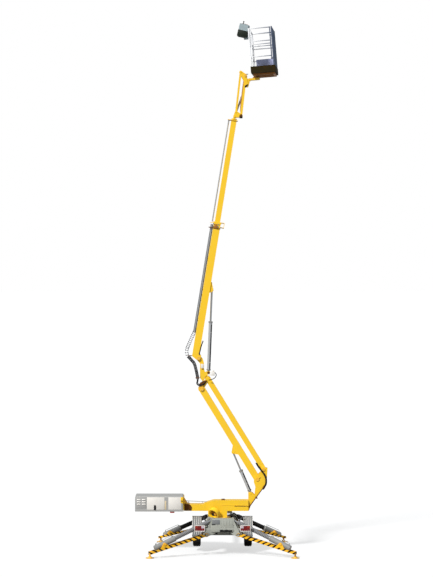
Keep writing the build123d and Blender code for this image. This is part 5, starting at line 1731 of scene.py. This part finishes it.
@dataclass
class Knuckle(SubAssembly):
    """The hose bundle past the knuckle, the energy chain's loop, the valve and the plates."""

    hose_radius: float = 0.0125
    upper_path: Path = (
        (
            -0.872, 4.935
        ), (-0.845, 4.91), (-0.775, 4.83), (-0.715, 4.77), (-0.668, 4.6), (-0.64, 4.46), (-0.622, 4.37),
    )
    lower_path: Path = (
        (
            -0.622, 4.37
        ), (-0.632, 4.3), (-0.645, 4.25), (-0.6, 4.205), (-0.535, 4.2), (-0.48, 4.235), (-0.42, 4.28),
    )
    chain_path: Path = (
        (-0.69, 5.6), (-0.722, 5.53), (-0.76, 5.45), (-0.8, 5.36), (-0.838, 5.272),
        (-0.875, 5.19), (-0.9, 5.12), (-0.912, 5.06), (-0.905, 5.0), (-0.88, 4.95),
    )
    link_pitch: float = 0.047
    plate_offset: float = 0.034
    valve_loop: Path = (
        (0.04, -0.02, 0.03), (0.075, -0.02, 0.01), (0.08, -0.02, -0.06), (0.03, -0.02, -0.12),
        (-0.04, -0.01, -0.15), (-0.1, 0.022, -0.17),
    )
    # The outline of the painted shade on the knuckle's lug.
    lug_shade: Path = (
        (-0.585, 4.19), (-0.47, 4.2), (-0.385, 4.3), (-0.4, 4.335), (-0.5, 4.3), (-0.58, 4.25),
    )

    def build(self) -> None:
        """Builds each of them."""
        self.build_bundle()
        self.build_chain()
        self.build_valve()
        self.build_plates()

    def build_bundle(self) -> None:
        """The black hoses from the chain's loop down past the boom's foot to the knuckle."""
        bent, fixed = [], []
        for step in (-0.024, 0.0, 0.024):
            for y in (-0.1, -0.07):
                bent.append(
                    Bench.hose(
                        [(x + step, y, z + 0.6 * step) for x, z in self.upper_path], self.hose_radius
                    )
                )
        for step in (-0.012, 0.012):
            fixed.append(
                Bench.hose([(x + step, -0.1, z + 0.7 * step) for x, z in self.lower_path], self.hose_radius)
            )
        ends = (Vector((-0.64, -0.085, 4.42)), Vector((-0.82, -0.085, 4.88)))
        self.shop.hand_over_bent(
            Bench.joined(*bent), "knuckle_hoses", ("knuckle", "boom_outer"), ends, Shade.RUBBER
        )
        self.give(fixed, "neck_hoses", "knuckle", Shade.RUBBER)
        # The clamp is drawn in the painted shade brown.
        self.blocks(
            "neck_hose_clamp", "knuckle", Shade.PAINTED_SHADE_BROWN, ORIGIN,
            ((-0.632, -0.085, 4.39), (0.1, 0.06, 0.03), 0.005)
        )

    def build_chain(self) -> None:
        """The energy chain's loop: open links, each two edge plates and a bar."""
        path = [Vector((x, 0, z)) for x, z in self.chain_path]
        plates, bars = [], []
        for start, end in zip(path, path[1:]):
            count = max(1, round((end - start).length / self.link_pitch))
            for i in range(count):
                middle = start.lerp(end, (i + 0.5) / count)
                seat = self.machine.member(middle, end - start)
                for x in (-self.plate_offset, self.plate_offset):
                    plates.append(Bench.block(seat, (x, 0, 0), (0.018, 0.07, 0.033), 0.002))
                bars.append(Bench.block(seat, (0, 0, 0.008), (0.07, 0.06, 0.008), 0.001))
        self.give(plates, "energy_chain_plates", "boom_outer", Shade.CHAIN)
        self.give(bars, "energy_chain_bars", "boom_outer", Shade.BLACK)
        # The bracket is drawn in the painted shade brown.
        self.blocks(
            "chain_end_bracket", "boom_outer", Shade.PAINTED_SHADE_BROWN, ORIGIN,
            ((-0.83, -0.02, 4.95), (0.11, 0.07, 0.02), 0.004)
        )

    def build_valve(self) -> None:
        """The valve beside the boom ram's foot, with its loop of hose."""
        seat = upright(-0.235, -0.13, 4.5)
        body = Bench.block(seat, (0, 0, 0), (0.09, 0.08, 0.1), 0.008)
        dome = Bench.spun(seat.moved(0, 0, 0.05), disc_section(0.026, 0, 0.035, 0.008), 20)
        arm = Bench.block(seat, (-0.08, 0.032, -0.03), (0.11, 0.03, 0.03), 0.004)
        self.give((body, dome, arm), "ram_valve", "knuckle", Shade.PANEL)
        loop = Bench.hose([seat.at(*p) for p in self.valve_loop], 0.01)
        self.give(loop, "ram_valve_loop", "knuckle", Shade.RUBBER)

    def build_plates(self) -> None:
        """Brown plates of painted shade on the knuckle's lug, and the blank pale plate on its neck."""
        for _, sign in SIDES:
            low, high = sorted((sign * 0.083, sign * 0.089))
            word = "near" if sign < 0 else "far"
            # Brown plates of painted shade over the knuckle's lug, where it lies in shadow.
            lug_shade = Bench.plate(ORIGIN, self.lug_shade, low, high, 0.002)
            self.give(lug_shade, f"knuckle_gusset_{word}", "knuckle", Shade.PAINTED_SHADE_BROWN)
        self.blocks(
            "neck_plate", "knuckle", Shade.PANEL, ORIGIN,
            ((-0.513, -0.086, 4.69), (0.075, 0.006, 0.11), 0.002)
        )


@dataclass
class BoomFittings(SubAssembly):
    """The collar's bolts and brackets, the tray's edges, the foot's rubber strip, the hook's pads and the
    painted shade under the flange.
    """

    clip_count: int = 4
    clip_pitch: float = 0.8
    flange_pad_height: float = 6.084

    def build(self) -> None:
        """Builds each of them along the boom's own axis."""
        self.seat = self.machine.member(self.machine.pin("boom_lift"), self.machine.rise("telescope"))
        self.low, self.high = self.extent("boom_outer", self.seat)
        self.build_tray()
        self.build_collar()
        self.build_foot()
        self.build_flange()

    def build_tray(self) -> None:
        """The folded edges of the chain tray and the dark chain that lies in it."""
        low, high = self.extent("chain_tray", self.seat)
        x = low.x + 0.006
        edge = Bench.rod(
            self.seat.at(x, -0.046, low.z + 0.01), self.seat.at(x, -0.046, high.z - 0.01), 0.006, 8
        )
        self.give(edge, "tray_edge", "boom_outer", Shade.GUARD)
        self.blocks(
            "tray_chain_edge", "boom_outer", Shade.MOTOR, self.seat,
            ((high.x - 0.014, -0.047, (low.z + high.z) / 2), (0.022, 0.006, high.z - low.z - 0.02), 0.001)
        )
        heights = [low.z + 0.3 + self.clip_pitch * i for i in range(self.clip_count)]
        self.blocks(
            "tray_clips", "boom_outer", Shade.YELLOW, self.seat,
            *[((high.x + 0.003, 0, z), (0.026, 0.05, 0.03), 0.004) for z in heights]
        )

    def build_collar(self) -> None:
        """The shaded plates under the collar, its bolts, and the hook's rubber pads."""
        top, right = self.high.z, self.high.x
        inner_low, inner_high = self.extent("boom_inner", self.seat)
        centre = (inner_low.x + inner_high.x) / 2
        self.blocks(
            "collar_shade_plate", "boom_outer", Shade.PAINTED_SHADE_BROWN, self.seat,
            *[((centre - 0.02, y, top - 0.165), (0.3, 0.068, 0.02), 0.003) for y in (-0.0605, 0.0585)]
        )
        # The pad cover is drawn in the orange painted shade.
        self.blocks(
            "collar_pad_cover", "boom_outer", Shade.PAINTED_SHADE_ORANGE, self.seat,
            ((centre + 0.005, -0.094, top - 0.12), (0.07, 0.014, 0.09), 0.004)
        )
        places = [(centre + x, top - z) for x in (-0.06, 0.065) for z in (0.06, 0.12)]
        seats = [self.seat.moved(x, -0.088, z).turned("X", 90) for x, z in places]
        bolts = [Bench.bolt(seat, 0.017, 0.008) for seat in seats]
        self.give(bolts, "collar_bolts", "boom_outer", Shade.ZINC)
        # The hook's pads are drawn in the painted shade brown.
        self.blocks(
            "hook_pads", "boom_outer", Shade.PAINTED_SHADE_BROWN, self.seat,
            *[((right - 0.045, 0, top - z), (0.1, 0.05, 0.01), 0.002) for z in (0.02, 0.14)]
        )

    def build_foot(self) -> None:
        """The black edge strip on the right of the boom's foot."""
        strip = Bench.hose(
            ((-0.488, -0.06, 5.33), (-0.535, -0.075, 5.22), (-0.56, -0.08, 5.1), (-0.59, -0.085, 4.985)),
            0.014
        )
        self.give(strip, "foot_edge_hose", "boom_outer", Shade.RUBBER)

    def build_flange(self) -> None:
        """Brown plates of painted shade under both ends of the inner boom's flange."""
        seat = self.seat
        low, high = self.extent("boom_inner", seat)
        # Brown plates of painted shade under the flange's two ends.
        for word, x, width in (("left", low.x + 0.05, 0.085), ("right", high.x - 0.035, 0.06)):
            row = ((x, 0, self.flange_pad_height), (width, 0.1, 0.01), 0.002)
            self.blocks(f"flange_pad_{word}", "boom_inner", Shade.PAINTED_SHADE_BROWN, seat, row)


# ---- jib and platform -----------------------------------------------------------------------
@dataclass
class Jib(SubAssembly):
    """The connector at the jib's foot, the levelling rod and the painted shadow at the bracket's lower end.
    """

    def build(self) -> None:
        """Builds each of them."""
        head_low, head_high = self.extent("jib_head")
        row = ((head_high.x - 0.035, 0, head_low.z + 0.03), (0.08, 0.21, 0.075), 0.012)
        self.blocks("jib_foot_guard", "jib_head", Shade.BLACK, ORIGIN, row)
        rod = Bench.rod((0.535, 0, 12.088), (0.652, 0, 12.092), 0.011, 14)
        self.give(rod, "bracket_rod", "basket_bracket", Shade.ZINC)
        # A black plate of painted shadow at the bracket's lower end.
        floor = self.extent("basket_bracket")[0].z
        outline = [(0.56, -0.004), (0.6, -0.004), (0.655, 0.05), (0.64, 0.07), (0.57, 0.03)]
        low_shadow = Bench.plate(ORIGIN, [(x, floor + rise) for x, rise in outline], -0.104, 0.104, 0.004)
        self.give(low_shadow, "bracket_low_guard", "basket_bracket", Shade.BLACK)
        seat = self.machine.member(self.machine.pin("jib_ram_swing"), self.machine.rise("jib_ram_stroke"))
        low, high = self.extent("jib_ram_barrel", seat)
        ring = Bench.spun(
            seat, ring_section(high.y * 0.7, high.y + 0.004, high.z - 0.03, high.z + 0.002, 0.002), 28
        )
        self.give(ring, "jib_ram_gland", "jib_ram_barrel", Shade.ZINC)
        pivot = self.machine.pin("jib_lift")
        arm = self.machine.member(pivot, self.machine.pin("bracket_level") - pivot)
        low, high = self.extent("jib_arm", arm)
        near, off, end = low.x + 0.01, low.x - 0.008, high.z - 0.12
        path = ((near, 0.1), (off, 0.14), (off, 0.5), (off, end - 0.04), (near, end))
        # A hose along the arm's left edge, coloured in the orange painted shade of a hose in shadow.
        hose = Bench.hose([arm.at(x, -0.05, z) for x, z in path], 0.013)
        self.give(hose, "jib_hose", "jib_arm", Shade.PAINTED_SHADE_ORANGE)


@dataclass
class Platform(SubAssembly):
    """The platform's side sheet and far toe panel of painted shade, console halves, levers and tread."""

    lean: float = -4.5
    yaw: float = -5.0
    tread_bars: int = 17
    tread_pitch: float = 0.068
    console_tilt: float = 17.5
    console_width: float = 0.24
    console_depth: float = 0.32

    def build(self) -> None:
        """Builds each of them in the platform's own axes."""
        self.seat = ORIGIN.turned("Y", self.lean).turned("Z", self.yaw)
        self.seat = Seat(self.machine.pin("basket_turn"), self.seat.across, self.seat.along)
        self.low, self.high = self.extent("basket_tray", self.seat)
        self.rails = self.extent("basket_rails", self.seat)
        self.paint_rails()
        self.build_sheets()
        self.build_tread()
        self.build_console()

    def paint_rails(self) -> None:
        """Anodised rails, pale towards the console, with painted shade darkening them to slate towards the
        far side.
        """
        finish = ShadedRailMetal(
            "rail_pale_to_painted_shade",
            (0.97, 0.97, 0.98),
            rough=0.45,
            tarnish=0.1,
            direction=tuple(self.seat.across / (self.rails[1].x - self.rails[0].x)),
            start=self.seat.across.dot(self.seat.at(self.rails[0].x)) / (self.rails[1].x - self.rails[0].x),
        )
        for node in ("basket_rails", "basket_gate"):
            self.shop.wardrobe.dress(self.machine.nodes[node], finish)

    def build_sheets(self) -> None:
        """A slate sheet of painted shade along the right side, its ribs, and a lilac panel of painted shade
        at the far toe board.
        """
        top = self.rails[1].z - 0.05
        floor = self.high.z
        x = self.rails[1].x - 0.012
        half = (self.high.y - self.low.y) / 2 - 0.04
        middle = (self.high.y + self.low.y) / 2
        height, level = top - floor, (floor + top) / 2
        # A sheet of painted shade with ribs, standing for the right side's posts in bluish shade.
        rows = [((x + 0.006, middle, level), (0.006, 2 * half, height), 0.001)]
        for part in (-0.66, -0.33, 0.33, 0.66):
            rows.append(((x + 0.012, middle + half * part, level), (0.008, 0.03, height - 0.05), 0.002))
        self.blocks("side_sheet", "basket", Shade.PAINTED_SHADE_SLATE, self.seat, *rows)
        # A lilac panel of painted bluish shade on the far toe board's inner face.
        width = self.high.x - self.low.x
        centre = (self.high.x + self.low.x) / 2
        self.blocks(
            "far_toe_panel", "basket", Shade.PAINTED_SHADE_LILAC, self.seat,
            ((centre + 0.02, self.high.y - 0.045, floor + 0.13), (width - 0.12, 0.006, 0.3), 0.001)
        )

    def build_tread(self) -> None:
        """The tread bars on the platform's floor and the rim round the toe boards."""
        floor = self.low.z + 0.0125
        span = self.high.x - self.low.x - 0.12
        centre, middle = (self.high.x + self.low.x) / 2, (self.high.y + self.low.y) / 2
        places = [middle + (i - self.tread_bars // 2) * self.tread_pitch for i in range(self.tread_bars)]
        rows = [((centre, y, floor), (span, 0.008, 0.004), 0.001) for y in places]
        self.blocks("floor_tread", "basket", Shade.ZINC, self.seat, *rows)
        ends = (self.low.y + 0.004, self.high.y - 0.004)
        rows = [((centre, y, self.high.z - 0.006), (span + 0.12, 0.012, 0.014), 0.003) for y in ends]
        # The rim is drawn in the tray's painted shade.
        self.blocks("toe_board_rim", "basket", Shade.DARK, self.seat, *rows)

    def build_console(self) -> None:
        """The console's dark lower half, its lid, stick, switches and stop button."""
        tilt = self.seat.turned("Y", self.console_tilt)
        low, high = self.extent("control_console", tilt)
        width, depth = self.console_width, self.console_depth
        top = high.z
        x, y = low.x + width / 2, (low.y + high.y) / 2
        self.blocks(
            "console_lower", "basket", Shade.CONSOLE_DARK, tilt,
            ((x, y, top - 0.235), (width + 0.012, depth + 0.012, 0.165), 0.014)
        )
        face = Bench.block(tilt, (x, y, top + 0.002), (width - 0.03, depth - 0.03, 0.006), 0.002)
        switches = [
            Bench.block(tilt, (x - 0.05 + 0.035 * i, y - 0.11, top + 0.012), (0.014, 0.02, 0.018), 0.003)
            for i in range(4)
        ]
        stick = Bench.rod(
            tilt.at(x - 0.05, y + 0.05, top), tilt.at(x - 0.05, y + 0.05, top + 0.06), 0.008, 12
        )
        grip = Bench.spun(
            tilt.moved(x - 0.05, y + 0.05, top + 0.055), disc_section(0.016, 0, 0.04, 0.008), 16
        )
        self.give((face, *switches, stick, grip), "console_controls", "basket", Shade.BLACK)
        stop = Bench.spun(tilt.moved(x + 0.05, y + 0.09, top), disc_section(0.02, 0, 0.03, 0.006), 20)
        self.give(stop, "console_stop_button", "basket", Shade.RED_KNOB)


@dataclass(frozen=True)
class ShadedRailMetal(Metal):
    """Anodised metal whose colour runs from pale at one side to slate painted shade at the other."""

    direction: tuple[float, float, float] = (1.0, 0.0, 0.0)
    start: float = 0.0
    # The bluish slate of the painted shade at the far side.
    far: Colour = (0.05, 0.075, 0.14)

    def material(self) -> Material:
        """Builds the finish: the metal's own board, with the run of painted shade laid over it.

        Returns:
            The new material.
        """
        board = Board(self.name)
        lines = board.noise(240, 3, self.lines)
        across = board.sum("SUBTRACT", board.along(self.direction), self.start)
        # Painted shade: the colour runs from the pale base to the far colour across the platform.
        tone = board.mix(board.span(across, 0.12, 0.9), self.base, self.far)
        board.colour(board.mix(board.span(lines, 0.3, 0.7, 0, 0.1), tone, scaled(self.base, 0.75)))
        board.rough(board.span(lines, 0.2, 0.8, self.rough - 0.08, self.rough + 0.14))
        board.set(Metallic=0.0)
        board.bump(lines, 0.0004, 0.3)
        return board.material


# ---- towing gear ----------------------------------------------------------------------------
@dataclass
class TowingGear(SubAssembly):
    """The coupling's handle and the jockey's crank."""

    def build(self) -> None:
        """Builds both of them."""
        low, high = self.extent("tow_coupling")
        path = ((low.y + 0.02, high.z - 0.01), (low.y, high.z + 0.035), (low.y - 0.1, high.z + 0.045))
        handle = Bench.hose([(0, y, z) for y, z in (*path, (low.y - 0.16, high.z + 0.03))], 0.011)
        self.give(handle, "coupling_handle", "chassis", Shade.ZINC)
        top = self.extent("jockey_leg")[1].z
        path = (
            (0.11, 2.85, -0.005), (0.11, 2.85, 0.012), (0.13, 2.9, 0.014), (0.16, 2.97, 0.014),
            (0.16, 2.97, 0.05)
        )
        crank = Bench.hose([(x, y, top + rise) for x, y, rise in path], 0.008)
        self.give(crank, "jockey_crank", "chassis", Shade.ZINC)


@dataclass
class Studio:
    """The pale floor, the white surroundings, the lights and the camera."""

    camera_place: Vector = field(default_factory=lambda: Vector((-0.15, -51.4, 7.4)))
    pitch_down: float = 0.829
    lens: float = 126.3
    floor_half: float = 400.0
    sun_turn: float = 40.0
    sun_height: float = 42.0
    sun_strength: float = 3.5
    sun_spread: float = 9.0
    sky_strength: float = 0.42
    sky_colour: Colour = (0.93, 0.97, 1.0)
    floor_shown: float = 0.36
    floor_glow: float = 0.62
    floor_dim: float = 0.34

    def build(self) -> None:
        """Builds the floor, the world, the sun and the camera."""
        self.build_floor()
        self.build_world()
        sun = bpy.data.lights.new("sun", "SUN")
        sun.energy = self.sun_strength
        sun.angle = math.radians(self.sun_spread)
        lamp = bpy.data.objects.new("sun", sun)
        lamp.rotation_euler = (math.radians(90 - self.sun_height), 0, math.radians(-self.sun_turn))
        bpy.context.collection.objects.link(lamp)
        camera = bpy.data.cameras.new("camera")
        camera.lens = self.lens
        camera.clip_end = 2000
        seen = bpy.data.objects.new("camera", camera)
        seen.location = self.camera_place
        seen.rotation_euler = (math.radians(90 - self.pitch_down), 0, 0)
        bpy.context.collection.objects.link(seen)
        bpy.context.scene.camera = seen
        bpy.context.scene.view_settings.view_transform = "Standard"

    def build_floor(self) -> None:
        """The floor: pale to the camera, dimmer in the light that it throws back."""
        bpy.ops.object.select_all(action="DESELECT")
        bpy.ops.mesh.primitive_plane_add(size=2 * self.floor_half, location=(0, 0, -0.002))
        floor = bpy.context.object
        floor.name = "studio_floor"
        board = Board("studio_floor")
        nodes, tree = board.nodes, board.material.node_tree
        shown = nodes.new("ShaderNodeBsdfDiffuse")
        shown.inputs["Color"].default_value = (*[self.floor_shown] * 3, 1)
        glow = nodes.new("ShaderNodeEmission")
        glow.inputs["Color"].default_value = (1, 1, 1, 1)
        glow.inputs["Strength"].default_value = self.floor_glow
        both = nodes.new("ShaderNodeAddShader")
        dim = nodes.new("ShaderNodeBsdfDiffuse")
        dim.inputs["Color"].default_value = (*[self.floor_dim] * 3, 1)
        tree.links.new(shown.outputs[0], both.inputs[0])
        tree.links.new(glow.outputs[0], both.inputs[1])
        self.pick_by_ray(tree, dim, both, nodes["Material Output"])
        floor.data.materials.append(board.material)

    def build_world(self) -> None:
        """The surroundings: white to the camera, and a plain level as light."""
        world = bpy.data.worlds.new("studio")
        bpy.context.scene.world = world
        world.use_nodes = True
        nodes, tree = world.node_tree.nodes, world.node_tree
        light = nodes["Background"]
        light.inputs["Color"].default_value = (*self.sky_colour, 1)
        light.inputs["Strength"].default_value = self.sky_strength
        white = nodes.new("ShaderNodeBackground")
        white.inputs["Color"].default_value = (1, 1, 1, 1)
        self.pick_by_ray(tree, light, white, nodes["World Output"])

    @staticmethod
    def pick_by_ray(tree: bpy.types.NodeTree, lit: Node, seen: Node, output: Node) -> None:
        """Shows one shader to the camera and gives another to all other rays.

        Args:
            tree: the node tree that they are in.
            lit: the shader that lights the machine.
            seen: the shader that the camera sees.
            output: the tree's output node.
        """
        pick = tree.nodes.new("ShaderNodeMixShader")
        ray = tree.nodes.new("ShaderNodeLightPath")
        tree.links.new(ray.outputs["Is Camera Ray"], pick.inputs["Fac"])
        tree.links.new(lit.outputs[0], pick.inputs[1])
        tree.links.new(seen.outputs[0], pick.inputs[2])
        tree.links.new(pick.outputs[0], output.inputs["Surface"])


NODE_SHADES = {
    "chassis_paint": Shade.CHASSIS,
    "guard_plastic": Shade.GUARD,
    "zinc_steel": Shade.ZINC,
    "motor_paint": Shade.MOTOR,
    "lamp_red": Shade.RED_LENS,
    "black_rubber": Shade.RUBBER,
    "tyre_rubber": Shade.TYRE,
    "rim_steel": Shade.RIM,
    "box_paint": Shade.HOOD,
    "black_plastic": Shade.BLACK,
    "aluminium": Shade.ALUMINIUM,
    # The tray's CAD node gets the tray's painted shade.
    "dark_tray": Shade.DARK,
    "console_plastic": Shade.CONSOLE,
    "yellow_paint": Shade.YELLOW,
    "foot_paint": Shade.FOOT,
    "ram_paint": Shade.RAM,
    "chromed_rod": Shade.CHROME,
}


OWN_SHADES = {
    **{f"ram_barrel_{name}": Shade.LEG_RAM for name in LEGS},
    "chain_tray": Shade.TRAY,
    "carrier_tube": Shade.TRAY,
    # The platform's support frame is yellow paint drawn in the orange painted shade.
    "basket_support": Shade.PAINTED_SHADE_ORANGE,
}


def dress_nodes(shop: Shop) -> None:
    """Gives every CAD node the finish of its slot, or its own where it has one.

    Args:
        shop: the shop that knows the nodes and the finishes.
    """
    for name, node in shop.machine.nodes.items():
        slot = shop.machine.slots[name]
        if name in OWN_SHADES:
            shop.wardrobe.dress(node, OWN_SHADES[name])
        elif slot in NODE_SHADES:
            shop.wardrobe.dress(node, NODE_SHADES[slot])


ASSEMBLIES = (
    ChassisFittings, TurretBeam, PowerBox, PinCaps, Elbow, Knuckle, BoomFittings, Jib, Platform, TowingGear
)


def main() -> None:
    logging.basicConfig(level=logging.INFO, format="%(name)s: %(message)s")
    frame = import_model()
    shop = Shop(Machine(frame), Wardrobe())
    Studio().build()
    dress_nodes(shop)
    for side, sign in SIDES:
        Wheel(shop, side, sign).build()
        TailLamp(shop, side, sign).build()
    for name in LEGS:
        Outrigger(shop, name).build()
    for ram in ("lift_ram", "boom_ram"):
        MainRam(shop, ram).build()
    for assembly in ASSEMBLIES:
        assembly(shop).build()


if __name__ == "__main__":
    main()
